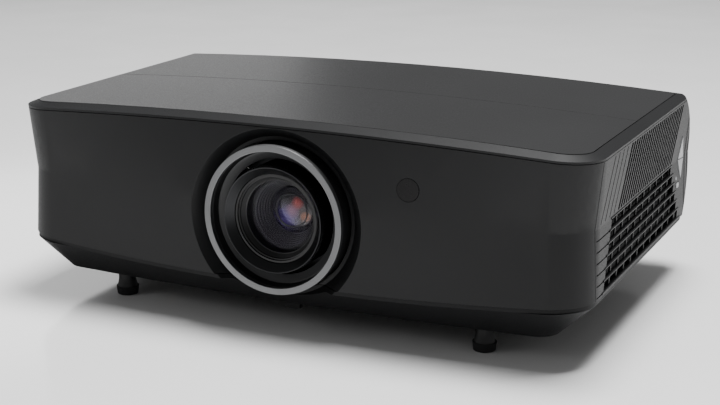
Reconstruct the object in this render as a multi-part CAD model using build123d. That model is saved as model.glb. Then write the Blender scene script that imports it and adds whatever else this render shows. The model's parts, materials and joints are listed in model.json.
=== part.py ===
"""Home projector: moulded shell, lens assembly, light engine, cooling, boards, keys and feet.

Millimetres. Origin at the middle of the footprint on the table, +X to the right of the
front face, +Y to the back, +Z up. Each function makes one sub-part, and each sub-part is
written to parts/NAME.step.
"""
from build123d import *
import math
import os

# ------------------------------------------------------------------ overall sizes
WIDTH = 498.0            # across the rim
DEPTH = 331.0            # lens ring to the fullest part of the back
BODY_HEIGHT = 148.8      # underside of the base pan to the top of the crown
FOOT_DROP = 20.3         # how far the feet hold the base pan off the table
WALL = 2.6               # moulded shell thickness
SEAM = 0.5               # visible gap between fixed panels
HATCH_GAP = 0.8          # gap round the hatch
CLEAR = 0.3              # gap between pieces that move past each other
RUN_FIT = 0.06           # radial clearance of a running fit

HALF = WIDTH / 2
FRONT_Y = -DEPTH / 2
REAR_Y = DEPTH / 2
BASE_Z = FOOT_DROP
TOP_Z = BASE_Z + BODY_HEIGHT
FAR = DEPTH              # longer than anything in the body

# ------------------------------------------------------------------ shell shape
CROWN = 7.4              # rise of the top from its sides to its middle
BAND_IN = 11.0           # width of the sloped rim band round the top covers
BAND_DROP = 3.5          # fall of the rim band
RIM_LIP = 2.2            # upright edge under the rim band
FRONT_CORNER = 34.0      # plan radius of the front corners
REAR_CORNER = 9.0        # radius of the rear corners
CREASE_Z = BASE_Z + 84.0     # fold that runs round the front and the sides
SIDE_FACE_X = HALF - 4.3     # side wall at the crease
LOW_Z = BASE_Z + 15.7        # lowest level of the shell faces
HIGH_Z = TOP_Z + 4.9         # level above the crown that the upper faces aim at
REAR_TOP_SETBACK = 31.7      # how far the back leans in at the rim
REAR_LOW_SETBACK = 31.0      # how far the back leans in at the lower seam
SEAM_SAG = 9.3               # the lower seam hangs this much lower in the middle
SEAM_Z = BASE_Z + 21.1       # lower seam in the middle of the front
# height, half width, front face in the middle, how far the front bows back at the sides
LEVELS = [
    (LOW_Z, HALF - 1.6, FRONT_Y + 3.4, 11.2),
    (CREASE_Z, SIDE_FACE_X, FRONT_Y + 3.0, 16.05),
    (HIGH_Z, HALF + 1.2, FRONT_Y + 8.9, 1.9),
]
RIM_Z = TOP_Z - BAND_DROP
PANEL_TOP_Z = RIM_Z - RIM_LIP
HATCH_Y = -5.7               # seam between the hatch and the rear top cover
SIDE_ZONE = 14.0             # the side walls reach this far in from the rim
FRONT_SPLIT_Y = FRONT_Y + 39.5   # front panel meets the side grilles
REAR_SPLIT_Y = REAR_Y - 25.0     # side grilles meet the rear panel

# ------------------------------------------------------------------ base pan
PAN_SIDE_IN = 31.6       # how far the underside stands in from the rim
PAN_FRONT_IN = 22.6
PAN_REAR_IN = 44.0
PAN_BOW = 8.7
PAN_CORNER = 16.7
PAN_TOP_Z = SEAM_Z + 4.5
PAN_LIP = 3.0            # upright edge just under the seam
PAN_LIP_IN = 1.3         # that edge stands in by this much
PAN_FLOOR = 3.0

# ------------------------------------------------------------------ lens
LENS_Z = BASE_Z + 72.3
RING_R = 59.2            # silver trim ring
RING_FACE = 5.2          # width of its bright face
RING_IN_R = RING_R - RING_FACE
RING_T = 4.6
SHROUD_R = RING_R - 0.8
SHROUD_WALL = 2.4
SHROUD_STEP = 3.0        # shoulder that the mask ring sits behind
SHROUD_BACK_Y = FRONT_Y + 34.0
MASK_Y = FRONT_Y + 10.3  # front of the pale mask ring inside the shroud
MASK_BACK_Y = FRONT_Y + 23.3
DISH_EDGE_Y = FRONT_Y + 3.0
DISH_R = RING_R + 15.8   # dish edge where the front face is fullest
DISH_SLOPE = 0.91        # radius lost for each millimetre back
DISH_FLOOR_Y = FRONT_Y + 16.0
DISH_HOLE_R = RING_R + 1.0
BARREL_R = 38.0          # fixed lens tube, outside
BARREL_WALL = 2.6
FOCUS_R = BARREL_R + 4.0     # focus ring under its ribs
FOCUS_GRIP_R = BARREL_R + 11.0   # part of the focus ring under the hatch
FOCUS_RIBS = 60
LIP_R = BARREL_R - 2.4   # inner edge of the focus ring's sloped front
LIP_DEEP = 6.4           # depth of that slope
MASK_R = FOCUS_R + 4.0   # opening in the mask ring, wide enough for the lens shift
ZOOM_R = BARREL_R + 7.0
ZOOM_LEVER = 12.0
GLASS_R = BARREL_R - 9.0
ZOOM_GLASS_R = 22.9
REAR_TUBE_R = 30.0       # back end of the lens tube
REAR_TUBE_WALL = 3.0
SHIFT_TRAVEL = 1.5       # the lens moves this far up or down
NECK_GAP = SHIFT_TRAVEL + 0.4    # room round the back end for that shift
CARRIAGE_Y = -46.0       # lens carriage plate
CARRIAGE_T = 4.0
CARRIAGE_W = 116.0
CARRIAGE_H = 88.0
DIAL_X = 84.0            # lens shift dial
DIAL_Y = -104.0
DIAL_R = 13.0
DIAL_T = 9.0
DIAL_Z = TOP_Z - 26.0

# ------------------------------------------------------------------ controls
EYE_X = 110.3            # infrared receiver window
EYE_Z = BASE_Z + 107.1
EYE_R = 8.6
KEY_LEFT = (117.7, 84.7)     # diamond of the keypad: place along the side, height over the base
KEY_TOP = (126.6, 104.4)
KEY_RIGHT = (137.1, 82.9)
KEY_BOTTOM = (128.6, 65.7)
KEY_T = 7.0
KEY_TRAVEL = 1.0
KEY_PROUD = 0.5
POWER_Y = 117.9
POWER_Z = BASE_Z + 62.2
POWER_SIZE = (8.0, 4.2)
LED_Y = 113.8
LED_Z = BASE_Z + 68.9
LED_R = 1.4

# ------------------------------------------------------------------ side grilles
SLANT = 0.40             # slots lean back by this much for each millimetre up
SLOT_W = 4.4
SLOT_PITCH = 7.0
SLOT_COUNT = 24
SLOT_FIRST_Y = -52.0     # top of the first open slot
GROOVE_PITCH = 11.5
GROOVE_COUNT = 6
GROOVE_D = 0.9
GRID_ROWS = 6
GRID_BAR = 2.2
GRID_TILE = 20.0
GRID_TOP_Z = CREASE_Z
GRID_PITCH_Z = 8.63
GRID_FRONT_Y = -86.0
GRID_FRONT_SHIFT = -3.9  # each row starts further forward
GRID_BACK_Y = 95.0
GRID_BACK_SHIFT = 5.0    # each row ends further back
GRID_SET = 1.3           # the leaning uprights of the grid stand this far behind the level bars
RIB_PITCH = 8.6          # grooves down the rear corners
RIB_COUNT = 2
RIB_W = 2.0
RIB_D = 1.1

# ------------------------------------------------------------------ feet
FOOT_NAMES = ("front_left", "front_right", "rear_left", "rear_right")
FOOT_X = 160.7
FRONT_FOOT_Y = FRONT_Y + 40.6
REAR_FOOT_Y = REAR_Y - 66.0
STEM_R = 8.4
PAD_R = 9.4
PAD_T = 7.0
SCREW_R = 4.0
SCREW_LEN = 34.0
NUT_R = 8.0
FOOT_UP = 12.0           # how far a foot screws in from where it stands
NUT_L = 11.0
NUT_Z = BASE_Z + FOOT_UP + 1.0

# ------------------------------------------------------------------ rear sockets
BAY_X0 = -104.0
BAY_X1 = 150.0
BAY_Z0 = BASE_Z + 42.0
BAY_Z1 = BASE_Z + 72.0
BAY_Y = REAR_Y - 14.0    # face of the socket plate
BAY_T = 1.6
INLET_X = -190.0
INLET_Z = BASE_Z + 50.0
INLET_W = 27.4
INLET_H = 20.0
INLET_DEEP = 22.0
SOCKET_Z = BASE_Z + 52.0

# ------------------------------------------------------------------ inside
BOARD_POST = 8.0         # posts under the power board
FAN_SIZE = 80.0
FAN_T = 25.0
FAN_Z = BASE_Z + 66.0
FAN_X = HALF - 32.0
FAN_YS = (-16.0, 70.0)
HUB_R = 17.0
BLADES = 7
INSERT_R = 3.2           # threaded insert, outside
INSERT_HOLE_R = 2.0      # M4 thread
INSERT_L = 8.0
MOUNT_DX = 300.0
MOUNT_DY = 130.0
MOUNT_Y = -8.0
HINGE_X = 60.0
HINGE_Y = HATCH_Y - 10.0
HINGE_PIN_R = 1.0
EAR_R = 1.6              # head of a hinge ear round the pin
HINGE_Z = TOP_Z - CROWN * (HINGE_X / HALF) ** 2 - 2.8
SCREW_HEAD_R = 3.5


def arc_radius(sag, half_chord):
    """Radius of an arc that rises by sag over half a chord."""
    return (half_chord ** 2 + sag ** 2) / (2 * sag)


CROWN_R = arc_radius(CROWN, HALF)
BULGE_Z = CREASE_Z + 2.7     # fullest height of the back, in the middle


def span(x0, x1, y0, y1, z0, z1):
    """A box between two corners."""
    middle = ((x0 + x1) / 2, (y0 + y1) / 2, (z0 + z1) / 2)
    return Pos(*middle) * Box(x1 - x0, y1 - y0, z1 - z0)


def rod_y(radius, y0, y1, x=0.0, z=LENS_Z):
    """A cylinder along Y."""
    return Pos(x, (y0 + y1) / 2, z) * Rot(90, 0, 0) * Cylinder(radius, y1 - y0)


def rod_x(radius, x0, x1, y, z):
    """A cylinder along X."""
    return Pos((x0 + x1) / 2, y, z) * Rot(0, 90, 0) * Cylinder(radius, x1 - x0)


def rod_z(radius, z0, z1, x, y):
    """An upright cylinder."""
    return Pos(x, y, (z0 + z1) / 2) * Cylinder(radius, z1 - z0)


def cone_y(front_radius, back_radius, y0, y1):
    """A cone along the lens axis."""
    return Pos(0, (y0 + y1) / 2, LENS_Z) * Rot(-90, 0, 0) * Cone(front_radius, back_radius, y1 - y0)


def tube_y(outer, inner, y0, y1, x=0.0, z=LENS_Z):
    """A tube along Y."""
    return rod_y(outer, y0, y1, x, z) - rod_y(inner, y0 - 1, y1 + 1, x, z)


def prism_x(points, x0, x1):
    """A prism along X from (y, z) points."""
    face = make_face(Polyline(*points, close=True).edges())
    return Pos(x0, 0, 0) * extrude(Plane.YZ * face, x1 - x0)


def outline(level, inset):
    """Closed plan outline of the shell at one level, open-ended behind the back."""
    z, half, front, bow = level
    half -= inset
    corner_y = front + bow * (half / HALF) ** 2 + inset
    arc = ThreePointArc((-half, corner_y), (0, front + inset), (half, corner_y))
    rest = Polyline((half, corner_y), (half, FAR), (-half, FAR), (-half, corner_y))
    face = make_face([arc, *rest.edges()])
    corners = [v for v in face.vertices() if v.Y < 0]
    return Pos(0, 0, z) * fillet(corners, FRONT_CORNER - inset)


def crown_block(top):
    """Everything under a crowned top."""
    return Pos(0, 0, top - CROWN_R) * Rot(90, 0, 0) * Cylinder(CROWN_R, 3 * FAR)


def seam_block(z):
    """Everything over the sagging lower seam."""
    radius = arc_radius(SEAM_SAG, HALF)
    return Pos(0, 0, z + radius) * Rot(90, 0, 0) * Cylinder(radius, 3 * FAR)


def rear_block(inset):
    """Everything ahead of the rounded back, which follows the crown from side to side."""
    upper = arc_radius(REAR_TOP_SETBACK, RIM_Z - BULGE_Z) - inset
    lower = arc_radius(REAR_LOW_SETBACK, BULGE_Z - SEAM_Z) - inset
    back = REAR_Y - inset
    top = TOP_Z + 3 - BULGE_Z
    low = LOW_Z - 4 - BULGE_Z

    def point(radius, dz):
        return (back - radius + math.sqrt(radius ** 2 - dz ** 2), BULGE_Z + dz)

    curve_up = ThreePointArc(point(upper, top), point(upper, top / 2), (back, BULGE_Z))
    curve_down = ThreePointArc((back, BULGE_Z), point(lower, low / 2), point(lower, low))
    start = point(lower, low)
    end = point(upper, top)
    rest = Polyline(start, (-FAR, start[1]), (-FAR, end[1]), end)
    face = Plane.YZ * make_face([curve_up, curve_down, *rest.edges()])
    axis = Axis((0, 0, TOP_Z - CROWN_R), (0, 1, 0))
    sweep = 2 * math.degrees(math.asin(1.3 * HALF / CROWN_R))
    return revolve(face.rotate(axis, -sweep / 2), axis=axis, revolution_arc=sweep)


def envelope(inset):
    """Solid inside the outer surface of the shell, offset inwards by inset."""
    walls = loft([outline(level, inset) for level in LEVELS], ruled=True)
    body = (walls & crown_block(TOP_Z - inset) & rear_block(inset)).solid()
    top = body.faces().sort_by(Axis.Z)[-1]
    body = body.chamfer(BAND_IN, BAND_DROP, top.edges(), face=top)
    upright = [
        e for e in body.edges()
        if e.center().Y > REAR_Y - 40 and abs(e.center().X) > HALF - 20 and e.bounding_box().size.Z > 9
    ]
    return body.fillet(REAR_CORNER - inset, upright)


def cover_zone(grow):
    """Upright block with the outline of the top covers, grown by grow."""
    z, half, front, bow = LEVELS[2]
    face = Pos(0, 0, -z) * outline((z, half, front, bow), BAND_IN - grow)
    back = REAR_Y - REAR_TOP_SETBACK - BAND_IN + grow
    block = Pos(0, 0, CREASE_Z) * extrude(face, BODY_HEIGHT)
    return block & span(-FAR, FAR, -FAR, back, CREASE_Z, HIGH_Z + 9)


OUTER = envelope(0.0)
INNER = envelope(WALL)
SHELL = OUTER - INNER


def dish_cone(extra):
    """The cone of the dish round the lens, grown by extra in radius."""
    front_y = FRONT_Y - 5.0
    front_r = DISH_R + DISH_SLOPE * (DISH_EDGE_Y - front_y) + extra
    back_r = DISH_R - DISH_SLOPE * (DISH_FLOOR_Y - DISH_EDGE_Y) + extra
    return cone_y(front_r, back_r, front_y, DISH_FLOOR_Y)


def dish_wall():
    """Cone-shaped wall of the dish, with the flat floor round the lens ring."""
    floor_r = DISH_R - DISH_SLOPE * (DISH_FLOOR_Y - DISH_EDGE_Y) + WALL
    floor = rod_y(floor_r, DISH_FLOOR_Y, DISH_FLOOR_Y + WALL)
    return (dish_cone(WALL) - dish_cone(0.0)) + floor - rod_y(DISH_HOLE_R, -FAR, 0)


def pan_block(inset):
    """Solid inside the tapered outside of the base pan, offset inwards by inset."""
    low = plan_block(HALF - PAN_SIDE_IN, FRONT_Y + PAN_FRONT_IN, REAR_Y - PAN_REAR_IN, PAN_CORNER, inset)
    high_front = LEVELS[0][2] + PAN_LIP_IN
    high = plan_block(HALF - 4.0, high_front, REAR_Y - REAR_LOW_SETBACK - 4.0, FRONT_CORNER, inset)
    floor_z = BASE_Z + (PAN_FLOOR if inset else 0.0)
    top = Pos(0, 0, PAN_TOP_Z + SEAM_SAG + 4) * high
    return loft([Pos(0, 0, floor_z) * low, Pos(0, 0, PAN_TOP_Z) * high, top], ruled=True)


def plan_block(half, front, back, corner, inset):
    """Plan face with a bowed front and round corners."""
    half -= inset
    side_y = front + PAN_BOW + inset
    arc = ThreePointArc((-half, side_y), (0, front + inset), (half, side_y))
    rest = Polyline((half, side_y), (half, back - inset), (-half, back - inset), (-half, side_y))
    face = make_face([arc, *rest.edges()])
    return fillet(face.vertices(), corner - inset)


# ------------------------------------------------------------------ shell parts
def base_pan():
    """Tapered tray under the shell, with a lip under the seam, bosses and the lower part of the dish."""
    lip = envelope(PAN_LIP_IN) & seam_block(SEAM_Z - SEAM - PAN_LIP)
    lip = lip - seam_block(SEAM_Z - SEAM)
    tray = (pan_block(0.0) - seam_block(SEAM_Z - SEAM - PAN_LIP)) + lip
    cavity = pan_block(WALL)
    pan = tray - cavity
    pan = pan - dish_cone(WALL) - rod_y(DISH_HOLE_R, -FAR, SHROUD_BACK_Y + 20)
    lower_dish = dish_wall() & (pan_block(0.0) + lip) - seam_block(SEAM_Z - SEAM)
    pan = pan + lower_dish
    for x, y in foot_places():
        pan = pan + (rod_z(NUT_R + 3, BASE_Z, NUT_Z + NUT_L, x, y) & pan_block(0.0))
        pan = pan - rod_z(NUT_R, NUT_Z - 1, NUT_Z + NUT_L + 1, x, y)
        pan = pan - rod_z(STEM_R + CLEAR, BASE_Z - 1, NUT_Z, x, y)
    for x, y in mount_places():
        pan = pan + rod_z(INSERT_R + 3, BASE_Z, BASE_Z + INSERT_L + 2, x, y)
        pan = pan - rod_z(INSERT_R, BASE_Z - 1, BASE_Z + INSERT_L, x, y)
    for x, y in ((-172, -88), (-70, -108), (-172, 80), (-70, 84)):
        pan = pan + rod_z(3, BASE_Z + 1, BASE_Z + PAN_FLOOR + BOARD_POST, x, y)
    pan = pan + span(-1.5, 10.8, FRONT_Y + 25, FRONT_Y + 30, BASE_Z - 5.0, BASE_Z + 1)
    return pan.solids().sort_by(SortBy.VOLUME)[-1]


def panels():
    """Upright walls between the lower seam and the rim, in one piece."""
    return (SHELL & seam_block(SEAM_Z)) & crown_block(PANEL_TOP_Z)


def front_panel():
    """Front wall with the wrap-round corners, the dish and the receiver hole."""
    zone = span(-FAR, FAR, -FAR, FRONT_SPLIT_Y - SEAM / 2, 0, TOP_Z + 9)
    body = (PANELS & zone) - dish_cone(WALL / 2)
    dish = (dish_wall() & OUTER & seam_block(SEAM_Z)) & crown_block(PANEL_TOP_Z)
    body = body + dish - rod_y(DISH_HOLE_R, -FAR, 0)
    return body - rod_y(EYE_R + CLEAR, -FAR, 0, EYE_X, EYE_Z)


def slot_shapes():
    """The long leaning slots of the upper side wall, as (y, z) outlines."""
    top_z = PANEL_TOP_Z - CROWN - 1.4
    low_z = CREASE_Z + GRID_BAR
    lean = SLANT * (top_z - low_z)
    for i in range(SLOT_COUNT):
        y = SLOT_FIRST_Y + i * SLOT_PITCH
        yield [(y, top_z), (y + SLOT_W, top_z), (y + SLOT_W - lean, low_z), (y - lean, low_z)]


def groove_shapes():
    """The shallow leaning grooves ahead of the open slots."""
    top_z = PANEL_TOP_Z - CROWN - 1.4
    low_z = CREASE_Z + GRID_BAR
    lean = SLANT * (top_z - low_z)
    for i in range(GROOVE_COUNT):
        y = SLOT_FIRST_Y - (i + 1) * GROOVE_PITCH
        if y - lean > FRONT_SPLIT_Y + 2:
            yield [(y, top_z), (y + 1.6, top_z), (y + 1.6 - lean, low_z), (y - lean, low_z)]


def margin_shapes():
    """The thin level grooves that carry the bars of the grid forward."""
    for row in range(GRID_ROWS):
        z = GRID_TOP_Z - (row + 1) * GRID_PITCH_Z
        end = GRID_FRONT_Y + row * GRID_FRONT_SHIFT - 4.5
        yield [(FRONT_SPLIT_Y + 2, z - 0.5), (end, z - 0.5), (end, z + 0.5), (FRONT_SPLIT_Y + 2, z + 0.5)]


def grid_shapes():
    """The tiles of the lower side grille."""
    for row in range(GRID_ROWS):
        top_z = GRID_TOP_Z - GRID_BAR / 2 - row * GRID_PITCH_Z
        low_z = top_z - GRID_PITCH_Z + GRID_BAR
        lean = SLANT * (top_z - low_z)
        y = GRID_FRONT_Y + row * GRID_FRONT_SHIFT
        end = GRID_BACK_Y + row * GRID_BACK_SHIFT
        while y < end - 6:
            stop = min(y + GRID_TILE - GRID_BAR, end)
            yield [(y, top_z), (stop, top_z), (stop - lean, low_z), (y - lean, low_z)]
            y += GRID_TILE


def row_shapes():
    """Each row of the lower side grille from end to end, as (y, z) outlines."""
    for row in range(GRID_ROWS):
        top_z = GRID_TOP_Z - GRID_BAR / 2 - row * GRID_PITCH_Z
        low_z = top_z - GRID_PITCH_Z + GRID_BAR
        lean = SLANT * (top_z - low_z)
        y = GRID_FRONT_Y + row * GRID_FRONT_SHIFT
        end = GRID_BACK_Y + row * GRID_BACK_SHIFT
        yield [(y, top_z), (end, top_z), (end - lean, low_z), (y - lean, low_z)]


def key_points():
    """Corners of the keypad diamond as (y, z)."""
    return [(y, BASE_Z + h) for y, h in (KEY_LEFT, KEY_TOP, KEY_RIGHT, KEY_BOTTOM)]


def side_grille(sign):
    """Side wall with its leaning slots and tiled grid; the right one also holds the keypad."""
    zone = span(HALF - SIDE_ZONE, FAR, FRONT_SPLIT_Y + SEAM / 2, REAR_SPLIT_Y - SEAM / 2, 0, TOP_Z + 9)
    wall = PANELS & zone
    depth = HALF - 30
    cuts = [prism_x(shape, depth, FAR) for shape in slot_shapes()]
    cuts += [prism_x(shape, depth, FAR) for shape in grid_shapes()]
    wall = wall - cuts
    skin = OUTER - envelope(GROOVE_D)
    for shape in [*groove_shapes(), *margin_shapes()]:
        wall = wall - (prism_x(shape, depth, FAR) & skin)
    set_back = OUTER - envelope(GRID_SET)
    for shape in row_shapes():
        wall = wall - (prism_x(shape, depth, FAR) & set_back)
    if sign > 0:
        wall = wall - prism_x(key_points(), depth, FAR)
        power = span(depth, FAR, POWER_Y - 4.3, POWER_Y + 4.3, POWER_Z - 2.4, POWER_Z + 2.4)
        wall = wall - power - rod_x(LED_R + 0.1, depth, FAR, LED_Y, LED_Z)
        return wall
    return mirror(wall, Plane.YZ)


def rear_panel():
    """Back wall with the socket bay, the power inlet hole, vents and ribbed corners."""
    inner = HALF - SIDE_ZONE - SEAM
    wall = PANELS & (span(-FAR, FAR, REAR_SPLIT_Y + SEAM / 2, FAR, 0, TOP_Z + 9)
                     + span(-inner, inner, 0, FAR, 0, TOP_Z + 9))
    wall = wall - span(BAY_X0, BAY_X1, 0, FAR, BAY_Z0, BAY_Z1)
    inlet = span(INLET_X - INLET_W / 2 - CLEAR, INLET_X + INLET_W / 2 + CLEAR, 0, FAR,
                 INLET_Z - INLET_H / 2 - CLEAR, INLET_Z + INLET_H / 2 + CLEAR)
    wall = wall - inlet - span(178, 185.5, 0, FAR, BASE_Z + 46, BASE_Z + 49.2)
    skin = OUTER - envelope(RIB_D)
    for i in range(RIB_COUNT):
        y = REAR_SPLIT_Y + 3.0 + i * RIB_PITCH
        for side in (span(inner, FAR, 0, FAR, 0, TOP_Z), span(-FAR, -inner, 0, FAR, 0, TOP_Z)):
            rib = span(-FAR, FAR, y - RIB_W / 2, y + RIB_W / 2, BASE_Z + 36, BASE_Z + 130)
            wall = wall - (rib & side & skin)
    return wall.solids().sort_by(SortBy.VOLUME)[-1]


def rim_frame():
    """Sloped band round the top, with the ledge that the covers sit on."""
    band = (SHELL - crown_block(PANEL_TOP_Z + SEAM)) - cover_zone(SEAM)
    ledge = (crown_block(TOP_Z - WALL - CLEAR) - crown_block(TOP_Z - 2 * WALL - CLEAR)) & INNER
    ledge = ledge & (cover_zone(2.0) - cover_zone(-7.0))
    ledge = ledge - span(-FAR, FAR, HINGE_Y - 5, HATCH_Y + 1, 0, TOP_Z)
    joined = band + ledge
    return joined.solids().sort_by(SortBy.VOLUME)[-1]


def rear_top_cover():
    """Fixed crowned cover over the engine."""
    zone = cover_zone(0.0) & span(-FAR, FAR, HATCH_Y + HATCH_GAP / 2, FAR, 0, TOP_Z + 9)
    return (crown_block(TOP_Z) - crown_block(TOP_Z - WALL)) & zone


def hatch():
    """Crowned front cover that lifts to reach the lens controls, with its hinge knuckles."""
    zone = cover_zone(0.0) & span(-FAR, FAR, -FAR, HATCH_Y - HATCH_GAP / 2, 0, TOP_Z + 9)
    lid = (crown_block(TOP_Z) - crown_block(TOP_Z - WALL)) & zone
    for side in (-1, 1):
        x = side * HINGE_X
        knuckle = rod_x(2.0, x - 4, x + 4, HINGE_Y, HINGE_Z)
        web = span(x - 4, x + 4, HINGE_Y - 2.0, HINGE_Y + 2.0, HINGE_Z, TOP_Z - CROWN / 5 - 0.6)
        lid = lid + knuckle + (web & crown_block(TOP_Z - WALL / 2))
        lid = lid - rod_x(HINGE_PIN_R + RUN_FIT, x - 9, x + 9, HINGE_Y, HINGE_Z)
        for x0, x1 in ((x - 8.2, x - 4.4), (x + 4.4, x + 8.2)):
            lid = lid - rod_x(EAR_R + 0.4, x0, x1, HINGE_Y, HINGE_Z)
    return lid


def hinge_bracket():
    """Cross bar behind the lens controls, with the ears that carry the hatch pins."""
    bar = span(-HINGE_X - 14, HINGE_X + 14, HINGE_Y - 25, HINGE_Y - 17, HINGE_Z - 24, HINGE_Z - 18)
    legs = [span(x - 5, x + 5, HINGE_Y - 25, HINGE_Y - 17, ENGINE_TOP, HINGE_Z - 20) for x in (-50, 50)]
    body = bar + legs
    arm_outline = [
        (HINGE_Y - EAR_R, HINGE_Z - 0.2),
        (HINGE_Y - 0.2, HINGE_Z - 0.2),
        (HINGE_Y - 0.2, HINGE_Z - 5.0),
        (HINGE_Y - 17.5, HINGE_Z - 22),
        (HINGE_Y - 24, HINGE_Z - 22),
    ]
    for side in (-1, 1):
        for offset in (-6.3, 6.3):
            x = side * HINGE_X + offset
            body = body + prism_x(arm_outline, x - 1.6, x + 1.6)
            body = body + rod_x(EAR_R, x - 1.6, x + 1.6, HINGE_Y, HINGE_Z)
        body = body - rod_x(HINGE_PIN_R, side * HINGE_X - 9, side * HINGE_X + 9, HINGE_Y, HINGE_Z)
    return body


def hinge_pins():
    """Two steel pins of the hatch."""
    return [rod_x(HINGE_PIN_R, s * HINGE_X - 7.8, s * HINGE_X + 7.8, HINGE_Y, HINGE_Z) for s in (-1, 1)]


# ------------------------------------------------------------------ lens parts
def lens_trim_ring():
    """Bright ring round the lens."""
    ring = tube_y(RING_R, RING_IN_R, FRONT_Y, FRONT_Y + RING_T)
    return chamfer(ring.edges().filter_by(GeomType.CIRCLE), 0.5)


def lens_shroud():
    """Dark tube behind the trim ring."""
    y0 = FRONT_Y + RING_T
    mouth = cone_y(RING_IN_R, SHROUD_R - SHROUD_WALL - SHROUD_STEP, y0 - 0.01, MASK_Y)
    tube = rod_y(SHROUD_R, y0, SHROUD_BACK_Y) - mouth
    tube = tube - rod_y(SHROUD_R - SHROUD_WALL, MASK_Y + 2, SHROUD_BACK_Y + 1)
    tube = tube - rod_y(SHROUD_R - SHROUD_WALL - SHROUD_STEP, MASK_Y - 1, MASK_Y + 3)
    flange = tube_y(SHROUD_R + 8, SHROUD_R - SHROUD_WALL, SHROUD_BACK_Y - 3, SHROUD_BACK_Y)
    return tube + flange


def mask_ring():
    """Pale sloped ring that hides the gap round the moving lens."""
    outer_r = SHROUD_R - SHROUD_WALL - SHROUD_STEP - 0.2
    body = tube_y(outer_r, MASK_R, MASK_Y + 0.4, MASK_Y + 5.4)
    body = body - cone_y(outer_r - 1.0, MASK_R, MASK_Y + 0.39, MASK_Y + 3.4)
    body = body + tube_y(outer_r, outer_r - 1.6, MASK_Y + 5, MASK_BACK_Y)
    seat = tube_y(SHROUD_R - SHROUD_WALL - 0.2, MASK_R + 1, MASK_BACK_Y - 2, MASK_BACK_Y)
    return body + seat


def lens_tube():
    """Fixed tube that carries the rings, with its rear cell and the carriage flange."""
    front = tube_y(BARREL_R, BARREL_R - BARREL_WALL, FRONT_Y + 12, CARRIAGE_Y)
    bore = REAR_TUBE_R - REAR_TUBE_WALL
    rear = tube_y(REAR_TUBE_R, bore, CARRIAGE_Y - 2, CARRIAGE_Y + 30)
    wall = tube_y(BARREL_R, bore, CARRIAGE_Y - 4, CARRIAGE_Y)
    return front + wall + rear


def focus_ring():
    """Ribbed ring that sets the focus, with a wider grip under the hatch."""
    inner = BARREL_R + RUN_FIT
    ring = tube_y(FOCUS_R, inner, FRONT_Y + 0.4, SHROUD_BACK_Y + 4)
    lip = tube_y(FOCUS_R, LIP_R, FRONT_Y + 0.4, FRONT_Y + LIP_DEEP + 1.6)
    grip = tube_y(FOCUS_GRIP_R, inner, SHROUD_BACK_Y + 2, SHROUD_BACK_Y + 14)
    rib_len = SHROUD_BACK_Y - FRONT_Y - 5
    rib = Pos(0, (FRONT_Y + 5 + SHROUD_BACK_Y) / 2, LENS_Z + FOCUS_R) * Box(1.6, rib_len, 1.2)
    axis = Axis((0, 0, LENS_Z), (0, 1, 0))
    ribs = [rib.rotate(axis, 360 * i / FOCUS_RIBS) for i in range(FOCUS_RIBS)]
    long_rib = Pos(0, SHROUD_BACK_Y + 8, LENS_Z + FOCUS_GRIP_R) * Box(2.4, 11, 1.6)
    grips = [long_rib.rotate(axis, 360 * i / 40) for i in range(40)]
    body = ring + lip + grip
    body = (body + ribs + grips) - rod_y(inner, FRONT_Y + LIP_DEEP + 1.6, SHROUD_BACK_Y + 20)
    return body - cone_y(FOCUS_R - 0.7, LIP_R, FRONT_Y + 0.39, FRONT_Y + LIP_DEEP)


def front_cell():
    """Dark cone and cell that hold the front glass and move with the focus ring."""
    y0 = FRONT_Y + LIP_DEEP + 0.4
    outer = BARREL_R - BARREL_WALL - RUN_FIT
    cell = rod_y(outer, y0, FRONT_Y + 40)
    cell = cell - cone_y(BARREL_R - 4.4, GLASS_R + 1, y0 - 0.01, FRONT_Y + 14)
    cell = cell - rod_y(GLASS_R, FRONT_Y + 13, FRONT_Y + 22) - rod_y(GLASS_R - 2, FRONT_Y + 20, FRONT_Y + 41)
    return cell


def bulged_glass(radius, front, back, centre_y):
    """Lens element with a rounded front and back."""
    y0 = centre_y - 2
    y1 = centre_y + 2
    a = arc_radius(front, radius)
    b = arc_radius(back, radius)
    body = rod_y(radius, y0 - front, y1 + back)
    body = body & (Pos(0, y0 - front + a, LENS_Z) * Sphere(a))
    return body & (Pos(0, y1 + back - b, LENS_Z) * Sphere(b))


def front_glass():
    """Front lens element."""
    return bulged_glass(GLASS_R - 0.1, 4.5, 1.0, FRONT_Y + 17.9)


def zoom_glass():
    """Inner lens element that moves with the zoom ring."""
    return bulged_glass(ZOOM_GLASS_R, 2.5, 2.5, FRONT_Y + 62)


def zoom_cell():
    """Cell of the inner lens element."""
    outer = BARREL_R - BARREL_WALL - RUN_FIT
    return tube_y(outer, ZOOM_GLASS_R + 0.1, FRONT_Y + 57, FRONT_Y + 67)


def rear_glass():
    """Rear lens element, next to the engine."""
    return bulged_glass(REAR_TUBE_R - REAR_TUBE_WALL - 0.1, 2.0, 1.0, CARRIAGE_Y + 18)


def zoom_ring():
    """Ring that sets the picture size, with its lever."""
    y0 = SHROUD_BACK_Y + 20
    inner = BARREL_R + RUN_FIT
    ring = tube_y(ZOOM_R, inner, y0, y0 + 15)
    lever = span(-4, 4, y0 + 4, y0 + 11, LENS_Z + ZOOM_R - 2, LENS_Z + ZOOM_R + ZOOM_LEVER)
    axis = Axis((0, 0, LENS_Z), (0, 1, 0))
    return ring + lever.rotate(axis, 20)


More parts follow.
